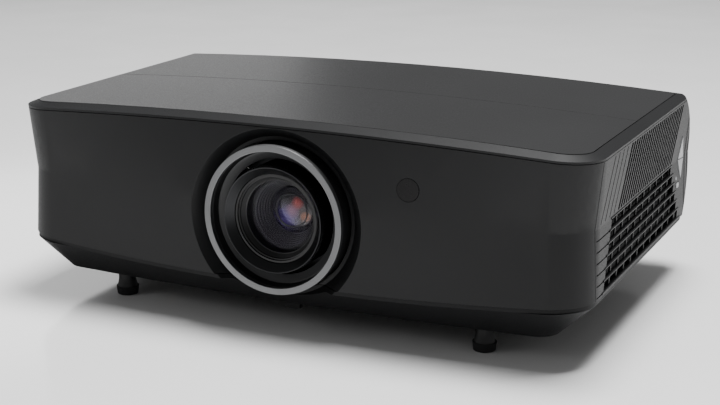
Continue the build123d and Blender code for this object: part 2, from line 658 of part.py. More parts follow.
def lens_carriage():
    """Plate that carries the lens and slides up and down on two rods."""
    half_w = CARRIAGE_W / 2
    half_h = CARRIAGE_H / 2
    plate = span(-half_w, half_w, CARRIAGE_Y, CARRIAGE_Y + CARRIAGE_T, LENS_Z - half_h, LENS_Z + half_h)
    plate = plate - rod_y(REAR_TUBE_R + RUN_FIT, -FAR, FAR)
    for x in (-half_w + 7, half_w - 7):
        plate = plate + span(x - 6, x + 6, CARRIAGE_Y - 10, CARRIAGE_Y, LENS_Z - 16, LENS_Z + 16)
        plate = plate - rod_z(3 + RUN_FIT, LENS_Z - 60, LENS_Z + 60, x, CARRIAGE_Y - 5)
    return plate


def carriage_rods():
    """Two upright guide rods of the lens carriage."""
    xs = (-CARRIAGE_W / 2 + 7, CARRIAGE_W / 2 - 7)
    return [rod_z(3, LENS_Z - 50, LENS_Z + 46, x, CARRIAGE_Y - 5) for x in xs]


def shift_frame():
    """Fixed frame that holds the guide rods on the base pan."""
    inner = CARRIAGE_W / 2 + 1
    outer = inner + 6
    front = CARRIAGE_Y - 10
    bars = [span(-outer, outer, front, CARRIAGE_Y - 1, z0, z1)
            for z0, z1 in ((LENS_Z - 56, LENS_Z - 50), (LENS_Z + 46, LENS_Z + 49))]
    posts = [span(min(x0, x1), max(x0, x1), front, CARRIAGE_Y + 8, BASE_Z + PAN_FLOOR, LENS_Z + 49)
             for x0, x1 in ((-outer, -inner), (inner, outer))]
    return Part() + bars + posts


def shift_gearbox():
    """Small gear housing under the lens shift dial."""
    top = DIAL_Z - 0.4
    body = span(DIAL_X - 11, DIAL_X + 11, DIAL_Y - 11, DIAL_Y + 11, top - 22, top)
    arm = span(DIAL_X - 6, DIAL_X + 6, DIAL_Y, CARRIAGE_Y - 12, top - 20, top - 12)
    post = span(DIAL_X - 8, DIAL_X + 8, DIAL_Y - 8, DIAL_Y + 8, BASE_Z + PAN_FLOOR, top - 21)
    return body + arm + post - rod_z(3 + RUN_FIT, top - 12, top + 1, DIAL_X, DIAL_Y)


def shift_dial():
    """Ribbed dial that raises and lowers the lens."""
    dial = rod_z(DIAL_R, DIAL_Z, DIAL_Z + DIAL_T, DIAL_X, DIAL_Y)
    notch = Pos(DIAL_X, DIAL_Y + DIAL_R, DIAL_Z + DIAL_T / 2) * Box(1.6, 1.6, DIAL_T + 1)
    axis = Axis((DIAL_X, DIAL_Y, 0), (0, 0, 1))
    dial = dial - [notch.rotate(axis, 360 * i / 24) for i in range(24)]
    return dial + rod_z(3, DIAL_Z - 11, DIAL_Z + 1, DIAL_X, DIAL_Y)


# ------------------------------------------------------------------ engine and electronics
ENGINE_TOP = LENS_Z + 38.0


def light_engine():
    """Cast housing that holds the mirrors and the imaging chip behind the lens."""
    body = span(-56, 56, CARRIAGE_Y + 32, 92, BASE_Z + 24, ENGINE_TOP)
    bore = REAR_TUBE_R + NECK_GAP
    neck = tube_y(bore + 5, bore, CARRIAGE_Y + 8.4, CARRIAGE_Y + 33)
    legs = [span(x - 8, x + 8, y - 8, y + 8, BASE_Z + PAN_FLOOR, BASE_Z + 25)
            for x in (-44, 44) for y in (0, 78)]
    rails = [span(x - 6, x + 6, HINGE_Y - 25.5, CARRIAGE_Y + 33, ENGINE_TOP - 8, ENGINE_TOP)
             for x in (-50, 50)]
    return body - rod_y(bore, -FAR, CARRIAGE_Y + 40) + neck + legs + rails


def heat_sink(x0, x1, y0, y1, z0, z1, base, fin, gap):
    """Base plate on the low X side with upright fins across X."""
    body = span(x0, x0 + base, y0, y1, z0, z1)
    y = y0
    while y + fin <= y1 + 0.01:
        body = body + span(x0 + base - 0.1, x1, y, y + fin, z0, z1)
        y += fin + gap
    return body


def imager_board():
    """Circuit board of the imaging chip."""
    return span(-58.2, -56.2, 4, 84, BASE_Z + 30, BASE_Z + 96)


def imager_heat_sink():
    """Finned sink on the back of the imaging chip."""
    sink = heat_sink(58.4, 84, 14, 74, BASE_Z + 36, BASE_Z + 90, 5, 1.6, 3.6)
    return mirror(sink, Plane.YZ)


def laser_module():
    """Laser light source bolted to the side of the engine."""
    body = span(56.4, 96, -4, 88, BASE_Z + 30, BASE_Z + 92)
    return body - span(60, 92, 0, 84, BASE_Z + 88, BASE_Z + 93)


def laser_heat_sink():
    """Large finned sink of the laser source, with its heat pipes' block."""
    return heat_sink(96.4, 172, -2, 86, BASE_Z + 22, BASE_Z + 104, 7, 1.8, 4.2)


def wheel_housing():
    """Dust-tight case of the phosphor and colour wheels."""
    box = span(-56, 56, 92.4, 118, BASE_Z + 28, BASE_Z + 94)
    hollow = span(-53, 53, 95, 115.4, BASE_Z + 31, BASE_Z + 91)
    return box - hollow


def disc_wheel(x, radius):
    """Thin coated wheel on its motor hub."""
    z = BASE_Z + 61
    return rod_y(radius, 104, 105.2, x, z) + rod_y(8, 100, 104.2, x, z) - rod_y(1.5 + RUN_FIT, 90, 120, x, z)


def wheel_motor(x):
    """Motor stub that a wheel turns on."""
    z = BASE_Z + 61
    return rod_y(1.5, 98, 107, x, z) + rod_y(9, 95, 98.4, x, z)


def main_board():
    """Main circuit board behind the sockets."""
    z = BAY_Z0 + 0.5
    board = span(BAY_X0 + 2, BAY_X1 - 2, 118.8, BAY_Y - 2.2, z, z + 1.6)
    chips = [span(x, x + 18, 121, 133, z + 1.6, z + 4) for x in (-70, -20, 30, 80)]
    return board + chips


def power_board():
    """Mains power supply on its own board."""
    z = BASE_Z + PAN_FLOOR + BOARD_POST
    board = span(-176, -66, -112, 88, z, z + 1.6)
    blocks = [
        span(-166, -134, -100, -66, z + 1.6, z + 34),
        span(-166, -130, -50, -8, z + 1.6, z + 30),
        span(-120, -84, -96, -60, z + 1.6, z + 26),
        span(-118, -96, 20, 60, z + 1.6, z + 40),
    ]
    cans = [rod_z(9, z + 1.5, z + 32, -80, y) for y in (-40, -18, 4)]
    return board + blocks + cans


def fan_frame(x, y):
    """Square fan frame with four corner struts."""
    half = FAN_SIZE / 2
    frame = span(x - FAN_T / 2, x + FAN_T / 2, y - half, y + half, FAN_Z - half, FAN_Z + half)
    frame = frame - rod_x(half - 2, x - FAN_T, x + FAN_T, y, FAN_Z)
    hub = rod_x(HUB_R - 2, x - FAN_T / 2, x - FAN_T / 2 + 3, y, FAN_Z)
    strut = span(x - FAN_T / 2, x - FAN_T / 2 + 3, y - 1.5, y + 1.5, FAN_Z, FAN_Z + half - 1)
    axis = Axis((x, y, FAN_Z), (1, 0, 0))
    struts = [strut.rotate(axis, 45 + 90 * i) for i in range(4)]
    spindle = rod_x(2, x - FAN_T / 2, x + FAN_T / 2 - 6, y, FAN_Z)
    return frame + hub + struts + spindle


def fan_rotor(x, y):
    """Fan hub with its blades."""
    x0 = x - FAN_T / 2 + 3 + CLEAR
    x1 = x + FAN_T / 2 - 1.5
    hub = rod_x(HUB_R, x0, x1, y, FAN_Z)
    reach = FAN_SIZE / 2 - 2 - 1.0
    place = Pos((x0 + x1) / 2, y, FAN_Z + (HUB_R + reach) / 2 - 1)
    blade = place * Rot(0, 0, 38) * Box(1.6, 20, reach - HUB_R + 2)
    axis = Axis((x, y, FAN_Z), (1, 0, 0))
    blades = [blade.rotate(axis, 360 * i / BLADES) for i in range(BLADES)]
    swept = Part() + blades
    swept = swept & rod_x(reach, x0, x1, y, FAN_Z)
    return (hub + swept) - rod_x(2 + RUN_FIT, x0 - 1, x + FAN_T / 2 - 6 + CLEAR, y, FAN_Z)


def speaker(sign):
    """Small loudspeaker in a rear corner."""
    x = sign * (HALF - 52)
    box = span(x - 22, x + 22, 112, REAR_Y - 30, BASE_Z + 76, BASE_Z + 118)
    cone = cone_shape(x, BASE_Z + 97, REAR_Y - 30)
    return box - cone


def cone_shape(x, z, y_front):
    """Hollow of a loudspeaker cone that opens to the back."""
    return Pos(x, y_front - 4, z) * Rot(-90, 0, 0) * Cone(7, 17, 8.02)


def keypad_board():
    """Board with the switches behind the keys."""
    x = SIDE_FACE_X - KEY_T - KEY_TRAVEL - CLEAR - 6
    return span(x - 1.6, x, KEY_LEFT[0] - 9, REAR_SPLIT_Y - 3, BASE_Z + 56, BASE_Z + 112)


def keypad_posts():
    """Two posts that hold the keypad board against the side wall."""
    x = SIDE_FACE_X - KEY_T - KEY_TRAVEL - CLEAR - 6
    return [rod_x(2, x, SIDE_FACE_X - WALL - 3, KEY_RIGHT[0], z) for z in (BASE_Z + 58, BASE_Z + 110)]


def key(upper):
    """Half of the diamond of keys, proud of the side wall."""
    left, top, right, bottom = key_points()
    corners = [left, top if upper else bottom, right]
    face = make_face(Polyline(*corners, close=True).edges())
    face = offset(face, -CLEAR, kind=Kind.INTERSECTION)
    block = Pos(SIDE_FACE_X - KEY_T, 0, 0) * extrude(Plane.YZ * face, KEY_T + 4)
    return block & side_surface(KEY_PROUD)


def side_surface(proud):
    """Everything inside the right side wall's outer face, moved out by proud."""
    return Pos(proud, 0, 0) * OUTER


def power_button():
    """Small bar-shaped power key."""
    w, h = POWER_SIZE
    block = span(SIDE_FACE_X - KEY_T, HALF + 3, POWER_Y - w / 2, POWER_Y + w / 2,
                 POWER_Z - h / 2, POWER_Z + h / 2)
    block = fillet(block.edges().filter_by(Axis.X), 1.4)
    return block & side_surface(KEY_PROUD)


def status_light():
    """Round light guide of the status lamp."""
    return rod_x(LED_R, SIDE_FACE_X - 8, HALF + 3, LED_Y, LED_Z) & side_surface(0.1)


def receiver_window():
    """Dark round window of the remote control receiver, with the receiver behind it."""
    body = rod_y(EYE_R, FRONT_Y + 4, FRONT_Y + 12, EYE_X, EYE_Z) & (Pos(0, -0.2, 0) * OUTER)
    rear = rod_y(EYE_R + 2, FRONT_Y + 16, FRONT_Y + 18, EYE_X, EYE_Z)
    return body + rod_y(EYE_R - 1, FRONT_Y + 11, FRONT_Y + 17, EYE_X, EYE_Z) + rear


def port_bay():
    """Tray-shaped plate that carries the sockets."""
    depth = 10.0
    z0 = BAY_Z0 + CLEAR
    z1 = BAY_Z1 - CLEAR
    x0 = BAY_X0 + CLEAR
    x1 = BAY_X1 - CLEAR
    tray = span(x0, x1, BAY_Y - BAY_T, BAY_Y + depth, z0, z1)
    tray = tray - span(x0 + 1.5, x1 - 1.5, BAY_Y, BAY_Y + depth + 1, z0 + 1.5, z1 - 1.5)
    tray = tray & envelope(0.8)
    for hole in socket_cuts():
        tray = tray - hole
    return tray.solids().sort_by(SortBy.VOLUME)[-1]


# socket name, place across, width, height
SOCKETS = [
    ("hdmi_1", -88.0, 15.2, 6.0),
    ("hdmi_2", -62.0, 15.2, 6.0),
    ("usb_service", -38.0, 13.2, 6.4),
    ("usb_power", -16.0, 13.2, 6.4),
    ("video_in", 18.0, 17.6, 9.2),
    ("serial", 56.0, 17.6, 9.2),
    ("network", 86.0, 15.6, 13.2),
]
JACKS = [106.0, 117.0, 128.0, 140.0]
JACK_R = 3.6


def socket_cuts():
    """Holes of the socket plate."""
    y0 = BAY_Y - BAY_T - 1
    y1 = BAY_Y + 1
    for name, x, w, h in SOCKETS:
        yield span(x - w / 2 - 0.1, x + w / 2 + 0.1, y0, y1, SOCKET_Z - h / 2 - 0.1, SOCKET_Z + h / 2 + 0.1)
    for x in JACKS:
        yield rod_y(JACK_R + 0.1, y0, y1, x, SOCKET_Z)


def video_sockets():
    """Metal shells of the picture, data and control sockets with their tongues."""
    shells = []
    for name, x, w, h in SOCKETS[:6]:
        y1 = BAY_Y + 0.6
        shell = span(x - w / 2, x + w / 2, BAY_Y - 14, y1, SOCKET_Z - h / 2, SOCKET_Z + h / 2)
        shell = shell - span(x - w / 2 + 0.6, x + w / 2 - 0.6, BAY_Y - 12, y1 + 1,
                             SOCKET_Z - h / 2 + 0.6, SOCKET_Z + h / 2 - 0.6)
        tongue = span(x - w / 2 + 2.5, x + w / 2 - 2.5, BAY_Y - 12.5, y1 - 2, SOCKET_Z - 0.7, SOCKET_Z + 0.7)
        shells.append(shell + tongue)
    return shells


def network_socket():
    """Network socket."""
    name, x, w, h = SOCKETS[6]
    y1 = BAY_Y + 0.6
    body = span(x - w / 2, x + w / 2, BAY_Y - 15, y1, SOCKET_Z - h / 2, SOCKET_Z + h / 2)
    hollow = span(x - 5.9, x + 5.9, BAY_Y - 12, y1 + 1, SOCKET_Z - 4.6, SOCKET_Z + 4.0)
    return body - hollow


def audio_jacks():
    """Round sockets for sound and the screen trigger."""
    jacks = []
    for x in JACKS:
        jack = rod_y(JACK_R, BAY_Y - 10, BAY_Y + 1.2, x, SOCKET_Z)
        jacks.append(jack - rod_y(1.8, BAY_Y - 9, BAY_Y + 2, x, SOCKET_Z))
    return jacks


def power_inlet():
    """Mains inlet body."""
    z = INLET_Z
    x = INLET_X
    back = REAR_Y - 8.0
    body = span(x - INLET_W / 2, x + INLET_W / 2, back - 26, back, z - INLET_H / 2, z + INLET_H / 2)
    hollow = span(x - 12.2, x + 12.2, back - INLET_DEEP, back + 1, z - 8.2, z + 8.2)
    return (body - hollow) & envelope(0.6)


def inlet_pins():
    """Three flat pins of the mains inlet."""
    back = REAR_Y - 8.0 - INLET_DEEP
    places = [(-7.0, -2.0), (7.0, -2.0), (0.0, -4.2)]
    return [span(INLET_X + x - 1, INLET_X + x + 1, back, back + 16, INLET_Z + z - 2, INLET_Z + z + 2)
            for x, z in places]


# ------------------------------------------------------------------ feet and fasteners
def foot_places():
    """Places of the four feet."""
    return [(x, y) for y in (FRONT_FOOT_Y, REAR_FOOT_Y) for x in (-FOOT_X, FOOT_X)]


def mount_places():
    """Places of the ceiling mount inserts."""
    return [(sx * MOUNT_DX / 2, MOUNT_Y + sy * MOUNT_DY / 2) for sy in (-1, 1) for sx in (-1, 1)]


def foot_stem(x, y):
    """Screwed stem of a foot."""
    collar = rod_z(STEM_R - 1.2, PAD_T, BASE_Z, x, y)
    taper = Pos(x, y, PAD_T + 3) * Cone(STEM_R, STEM_R - 1.2, 6)
    return collar + taper + rod_z(SCREW_R, BASE_Z - 1, BASE_Z + SCREW_LEN - 8, x, y)


def foot_pad(x, y):
    """Rubber pad of a foot."""
    pad = Pos(x, y, PAD_T / 2) * Cone(PAD_R - 0.8, PAD_R, PAD_T)
    return chamfer(pad.edges().sort_by(Axis.Z)[0], 0.5)


def foot_nuts():
    """Brass bushes that the feet screw into."""
    nuts = []
    for x, y in foot_places():
        nut = rod_z(NUT_R, NUT_Z, NUT_Z + NUT_L, x, y)
        nuts.append(nut - rod_z(SCREW_R + RUN_FIT, NUT_Z - 1, NUT_Z + NUT_L + 1, x, y))
    return nuts


def mount_inserts():
    """Threaded brass inserts for a ceiling mount."""
    inserts = []
    for x, y in mount_places():
        insert = rod_z(INSERT_R, BASE_Z, BASE_Z + INSERT_L, x, y)
        inserts.append(insert - rod_z(INSERT_HOLE_R, BASE_Z - 1, BASE_Z + INSERT_L + 1, x, y))
    return inserts


def case_screws():
    """Heads of the screws that close the case from below."""
    screws = []
    for x, y in ((-200, 40), (200, 40), (-90, -118), (90, -118), (-90, 108), (90, 108)):
        head = rod_z(SCREW_HEAD_R, BASE_Z - 1.2, BASE_Z, x, y)
        cross = span(x - 2, x + 2, y - 0.5, y + 0.5, BASE_Z - 1.3, BASE_Z - 0.5)
        screws.append(head - cross - cross.rotate(Axis((x, y, 0), (0, 0, 1)), 90))
    return screws


PANELS = panels()


def all_nodes():
    """Every sub-part by name."""
    nodes = {
        "base_pan": base_pan(),
        "front_panel": front_panel(),
        "right_grille": side_grille(1),
        "left_grille": side_grille(-1),
        "rear_panel": rear_panel(),
        "rim_frame": rim_frame(),
        "rear_top_cover": rear_top_cover(),
        "hatch": hatch(),
        "hinge_bracket": [hinge_bracket(), *hinge_pins()],
        "lens_trim_ring": lens_trim_ring(),
        "lens_shroud": lens_shroud(),
        "mask_ring": mask_ring(),
        "lens_tube": lens_tube(),
        "focus_ring": focus_ring(),
        "front_cell": front_cell(),
        "front_glass": front_glass(),
        "zoom_ring": zoom_ring(),
        "zoom_cell": zoom_cell(),
        "zoom_glass": zoom_glass(),
        "rear_glass": rear_glass(),
        "lens_carriage": lens_carriage(),
        "shift_frame": [shift_frame(), *carriage_rods()],
        "shift_gearbox": shift_gearbox(),
        "shift_dial": shift_dial(),
        "light_engine": light_engine(),
        "imager_board": imager_board(),
        "imager_heat_sink": imager_heat_sink(),
        "laser_module": laser_module(),
        "laser_heat_sink": laser_heat_sink(),
        "wheel_housing": [wheel_housing(), wheel_motor(-26), wheel_motor(26)],
        "phosphor_wheel": disc_wheel(-26, 24),
        "colour_wheel": disc_wheel(26, 24),
        "main_board": main_board(),
        "power_board": power_board(),
        "speakers": [speaker(-1), speaker(1)],
        "keypad_board": [keypad_board(), *keypad_posts()],
        "upper_key": key(True),
        "lower_key": key(False),
        "power_button": power_button(),
        "status_light": status_light(),
        "receiver_window": receiver_window(),
        "port_bay": port_bay(),
        "video_sockets": video_sockets(),
        "network_socket": network_socket(),
        "audio_jacks": audio_jacks(),
        "power_inlet": power_inlet(),
        "inlet_pins": inlet_pins(),
        "brass_inserts": foot_nuts() + mount_inserts(),
        "case_screws": case_screws(),
        "fan_frames": [fan_frame(-FAN_X, y) for y in FAN_YS],
    }
    for label, y in zip(("front", "rear"), FAN_YS):
        nodes[f"{label}_fan_rotor"] = fan_rotor(-FAN_X, y)
    for label, (x, y) in zip(FOOT_NAMES, foot_places()):
        nodes[f"{label}_foot_stem"] = foot_stem(x, y)
        nodes[f"{label}_foot_pad"] = foot_pad(x, y)
    return nodes


def as_shape(piece):
    """One shape from a piece or a list of pieces."""
    if isinstance(piece, list):
        return Compound(children=[solid for part in piece for solid in part.solids()])
    solids = piece.solids()
    if len(solids) == 1:
        return solids[0]
    return Compound(children=list(solids))


os.makedirs("parts", exist_ok=True)
NODES = all_nodes()
for name, piece in NODES.items():
    export_step(as_shape(piece), f"parts/{name}.step")
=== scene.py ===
# %% [markdown]
# # A home projector, dressed around its engineering model
#
# The engineering model already holds every part of the projector at its real size, and it moves.
# This script gives each part the surface that the real one has, rounds the moulded edges, adds the
# pieces that are too small for the engineering model, and lights the result like a studio shot.
# Everything is in metres, in the engineering model's own frame: +X to the right of the front face,
# +Y from the lens to the back, +Z up.

# %% Load the frame
import json
import math
import bmesh
import bpy
from mathutils import Matrix, Vector


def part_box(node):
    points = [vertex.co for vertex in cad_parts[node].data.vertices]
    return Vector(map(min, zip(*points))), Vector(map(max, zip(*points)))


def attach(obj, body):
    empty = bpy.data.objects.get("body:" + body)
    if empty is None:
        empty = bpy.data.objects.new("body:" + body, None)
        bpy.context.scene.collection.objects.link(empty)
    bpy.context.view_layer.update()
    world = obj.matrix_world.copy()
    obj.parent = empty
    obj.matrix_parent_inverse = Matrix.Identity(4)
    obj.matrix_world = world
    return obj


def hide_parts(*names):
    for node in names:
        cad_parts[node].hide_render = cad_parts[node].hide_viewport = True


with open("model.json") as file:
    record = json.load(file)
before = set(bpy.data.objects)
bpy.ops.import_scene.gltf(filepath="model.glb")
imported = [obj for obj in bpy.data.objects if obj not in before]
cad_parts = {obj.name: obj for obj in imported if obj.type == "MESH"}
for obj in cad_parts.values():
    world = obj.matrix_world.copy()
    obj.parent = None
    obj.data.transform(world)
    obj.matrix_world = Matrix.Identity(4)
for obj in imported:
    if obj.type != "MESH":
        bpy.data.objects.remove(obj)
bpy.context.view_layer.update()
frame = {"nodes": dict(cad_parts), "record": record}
SCENE = bpy.context.scene
MM = 0.001
BODY_OF = {node: body for body, nodes in frame["record"]["behaviour"]["bodies"].items() for node in nodes}
SLOT_OF = {row["node"]: row["material_slot"] for row in frame["record"]["subparts"]}

# %% [markdown]
# ## Places
#
# A piece goes where the engineering model says. The lens axis is the middle of the trim ring, and
# the front of the lens is the trim ring's front. Every piece of the lens is placed from these two.
# The underside of the base pan is found from a foot stem, which reaches a known distance below it.

# %% Read the places from the frame
STEM_BELOW_BASE = 13.3 * MM

RING_LOW, RING_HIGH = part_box("lens_trim_ring")
LENS_Z = (RING_LOW.z + RING_HIGH.z) / 2
FRONT_Y = RING_LOW.y
RING_R = (RING_HIGH.x - RING_LOW.x) / 2
BASE_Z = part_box("front_left_foot_stem")[0].z + STEM_BELOW_BASE
print("lens axis at z", round(LENS_Z, 4), "front at y", round(FRONT_Y, 4), "ring radius", round(RING_R, 4))
print("underside of the base pan at z", round(BASE_Z, 4))

# %% [markdown]
# ## Small helpers
#
# A finished piece is a plain mesh whose object sits at the origin. `publish` does the book-keeping
# that every piece needs: it rides on a body, and it may stand for one or more nodes of the
# engineering model.


# %% Helpers for pieces
def publish(obj, body, slot, *nodes):
    """Ride on a body and stand for nodes; the slot is not used."""
    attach(obj, body)
    if nodes:
        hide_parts(*nodes)
    return obj


def new_object(name, mesh):
    """An object at the origin with this mesh."""
    obj = bpy.data.objects.new(name, mesh)
    SCENE.collection.objects.link(obj)
    return obj


def mesh_from(name, bm):
    """A mesh datablock from a bmesh."""
    mesh = bpy.data.meshes.new(name)
    bm.to_mesh(mesh)
    bm.free()
    return mesh


def freeze(obj):
    """Turn an object with modifiers into a plain mesh and drop the modifiers."""
    bpy.context.view_layer.update()
    evaluated = obj.evaluated_get(bpy.context.evaluated_depsgraph_get())
    mesh = bpy.data.meshes.new_from_object(evaluated)
    mesh.name = obj.name
    obj.modifiers.clear()
    obj.data = mesh
    return obj


def smooth(obj, degrees=30.0):
    """Shade smooth, with edges sharper than the angle kept crisp."""
    mesh = obj.data
    mesh.shade_smooth()
    bm = bmesh.new()
    bm.from_mesh(mesh)
    limit = math.radians(degrees)
    for edge in bm.edges:
        edge.smooth = len(edge.link_faces) == 2 and edge.calc_face_angle(0.0) < limit
    bm.to_mesh(mesh)
    bm.free()
    return obj


def even_normals(obj):
    """Let the big faces keep their own direction, so that only the rounded edges bend the light."""
    modifier = obj.modifiers.new("normals", "WEIGHTED_NORMAL")
    modifier.mode = "FACE_AREA"
    modifier.weight = 80
    modifier.keep_sharp = True
    return freeze(obj)


def triangles(obj):
    """How many triangles a mesh has."""
    return sum(len(p.vertices) - 2 for p in obj.data.polygons)


# %% [markdown]
# ## Finishes
#
# Each finish is a node material built by a function. Moulded plastic is never one flat colour: a
# spark-eroded mould leaves grains about a third of a millimetre across, and handling and flow lines
# make the gloss drift slowly across a panel. Two noise scales give both, one driving bump and
# roughness, one driving a faint change of colour.


# %% Node helpers
def new_material(name):
    """A material with its node tree, shader and object coordinates."""
    material = bpy.data.materials.new(name)
    material.use_nodes = True
    tree = material.node_tree
    shader = tree.nodes["Principled BSDF"]
    coords = tree.nodes.new("ShaderNodeTexCoord")
    return material, tree, shader, coords.outputs["Object"]


def noise(tree, vector, scale, detail=2.0, rough=0.5, stretch=None):
    """Noise in object space, stretched along the axes if asked."""
    if stretch:
        mapping = tree.nodes.new("ShaderNodeMapping")
        mapping.inputs["Scale"].default_value = stretch
        tree.links.new(vector, mapping.inputs["Vector"])
        vector = mapping.outputs["Vector"]
    node = tree.nodes.new("ShaderNodeTexNoise")
    node.inputs["Scale"].default_value = scale
    node.inputs["Detail"].default_value = detail
    node.inputs["Roughness"].default_value = rough
    tree.links.new(vector, node.inputs["Vector"])
    return node.outputs["Fac"]


def ramp(tree, value, low, high, low_at=0.3, high_at=0.7):
    """Map a value onto two greys or colours."""
    node = tree.nodes.new("ShaderNodeValToRGB")
    start, end = node.color_ramp.elements
    start.position = low_at
    end.position = high_at
    start.color = (*low, 1.0) if len(low) == 3 else low
    end.color = (*high, 1.0) if len(high) == 3 else high
    tree.links.new(value, node.inputs["Fac"])
    return node.outputs["Color"]


def grey(value):
    """A neutral colour."""
    return (value, value, value)


def bump(tree, shader, height, distance, strength=1.0):
    """Bump on the shader's normal; distance is in metres."""
    node = tree.nodes.new("ShaderNodeBump")
    node.inputs["Strength"].default_value = strength
    node.inputs["Distance"].default_value = distance
    tree.links.new(height, node.inputs["Height"])
    tree.links.new(node.outputs["Normal"], shader.inputs["Normal"])
    return node


def scaled(colour, factor):
    """A colour made lighter or darker."""
    return tuple(min(1.0, c * factor) for c in colour)


# %% [markdown]
# ### Plastics and rubber
#
# The grain sets the bump and the gloss; the slow drift sets the colour. Rubber is the same material
# with a coarser grain, almost no gloss and more drift, because dust settles on it.


# %% Plastics and rubber
def moulded(name, colour, roughness, grain=2600.0, depth=0.02, drift=0.10, specular=0.5, coat=0.0):
    """Textured moulded plastic; depth is the height of the grain in millimetres."""
    material, tree, shader, place = new_material(name)
    slow = noise(tree, place, 9.0, 3.0)
    fine = noise(tree, place, grain, 2.0, 0.6)
    colours = ramp(tree, slow, scaled(colour, 1.0 - drift), scaled(colour, 1.0 + drift))
    tree.links.new(colours, shader.inputs["Base Color"])
    coarse = noise(tree, place, grain * 0.35, 3.0)
    gloss = ramp(tree, coarse, grey(roughness - 0.06), grey(roughness + 0.07))
    tree.links.new(gloss, shader.inputs["Roughness"])
    bump(tree, shader, fine, depth * MM)
    shader.inputs["Specular IOR Level"].default_value = specular
    shader.inputs["Coat Weight"].default_value = coat
    return material


def rubber(name):
    """Black rubber with a dusty bloom."""
    return moulded(name, (0.016, 0.016, 0.017), 0.78, grain=1800.0, depth=0.05, drift=0.25,
                   specular=0.3)


# %% [markdown]
# ### Metals
#
# A metal shows how it was made. Milling leaves straight fine lines, casting and blasting leave a
# blotchy matt skin, and turning leaves rings round the lens axis. The rings come from a noise that
# reads only the distance to that axis.


# %% Metals
def milled(name, colour, roughness, stretch=(1.0, 1.0, 18.0)):
    """Milled or brushed metal with a run of fine lines."""
    material, tree, shader, place = new_material(name)
    lines = noise(tree, place, 420.0, 3.0, 0.6, stretch)
    shader.inputs["Metallic"].default_value = 1.0
    colours = ramp(tree, lines, scaled(colour, 0.86), scaled(colour, 1.1))
    gloss = ramp(tree, lines, grey(roughness - 0.07), grey(roughness + 0.08))
    tree.links.new(colours, shader.inputs["Base Color"])
    tree.links.new(gloss, shader.inputs["Roughness"])
    bump(tree, shader, lines, 0.006 * MM)
    return material


def cast(name, colour):
    """Die-cast alloy with a shot-blasted skin."""
    material, tree, shader, place = new_material(name)
    shader.inputs["Metallic"].default_value = 1.0
    blotch = noise(tree, place, 60.0, 4.0)
    grain = noise(tree, place, 1500.0, 3.0, 0.7)
    colours = ramp(tree, blotch, scaled(colour, 0.8), scaled(colour, 1.15))
    tree.links.new(colours, shader.inputs["Base Color"])
    tree.links.new(ramp(tree, grain, grey(0.42), grey(0.62)), shader.inputs["Roughness"])
    bump(tree, shader, grain, 0.05 * MM)
    return material


def from_lens_axis(tree, place, x=0.0, z=0.0):
    """Distance to a line along Y that passes the lens axis at (x, z)."""
    centre = tree.nodes.new("ShaderNodeMapping")
    centre.inputs["Location"].default_value = (-x, 0.0, -LENS_Z - z)
    centre.inputs["Scale"].default_value = (1.0, 0.0, 1.0)
    tree.links.new(place, centre.inputs["Vector"])
    length = tree.nodes.new("ShaderNodeVectorMath")
    length.operation = "LENGTH"
    tree.links.new(centre.outputs["Vector"], length.inputs[0])
    return length.outputs["Value"]


def spun(name, colour, roughness):
    """Satin metal whose fine lines run round the lens axis."""
    material, tree, shader, place = new_material(name)
    shader.inputs["Metallic"].default_value = 1.0
    rings = tree.nodes.new("ShaderNodeTexNoise")
    rings.noise_dimensions = "1D"
    rings.inputs["Scale"].default_value = 3200.0
    rings.inputs["Detail"].default_value = 2.0
    tree.links.new(from_lens_axis(tree, place), rings.inputs["W"])
    colours = ramp(tree, rings.outputs["Fac"], scaled(colour, 0.93), scaled(colour, 1.05))
    tree.links.new(colours, shader.inputs["Base Color"])
    cloud = noise(tree, place, 35.0, 3.0)
    gloss = ramp(tree, cloud, grey(roughness - 0.04), grey(roughness + 0.05))
    tree.links.new(gloss, shader.inputs["Roughness"])
    bump(tree, shader, rings.outputs["Fac"], 0.001 * MM)
    return material


# %% [markdown]
# ### Glass and boards
#
# A coated lens reflects very little, and what it does reflect is tinted. The front element is
# therefore almost clear. The element deep inside carries painted reflections: soft spots of violet,
# rose and amber painted on near black, standing in for the glints that the coatings of a real lens show.


# %% Glass and boards
INNER_GLASS_BASE = (0.006, 0.006, 0.008, 1.0)
# Painted glints: each spot is a coloured reflection of the coatings, painted into the base colour.
PAINTED_GLINTS = (  # (x, z) from the lens axis in metres, colour, reach in metres
    ((-0.0060, -0.0070), (0.060, 0.022, 0.240), 0.0150),
    ((0.0010, 0.0005), (0.200, 0.080, 0.150), 0.0085),
    ((0.0055, 0.0070), (0.420, 0.050, 0.045), 0.0070),
    ((0.0120, -0.0040), (0.260, 0.075, 0.020), 0.0065),
)


def coated_glass(name, tint):
    """Lens glass that lets light straight through and keeps a faint, slightly tinted reflection."""
    material, tree, shader, place = new_material(name)
    shader.inputs["Alpha"].default_value = 0.08
    shader.inputs["IOR"].default_value = 1.8
    shader.inputs["Specular Tint"].default_value = (0.85, 0.78, 1.0, 1.0)
    haze = noise(tree, place, 40.0, 1.0)
    tree.links.new(ramp(tree, haze, grey(0.015), grey(0.03)), shader.inputs["Roughness"])
    tree.links.new(ramp(tree, haze, scaled(tint, 0.8), tint), shader.inputs["Base Color"])
    return material


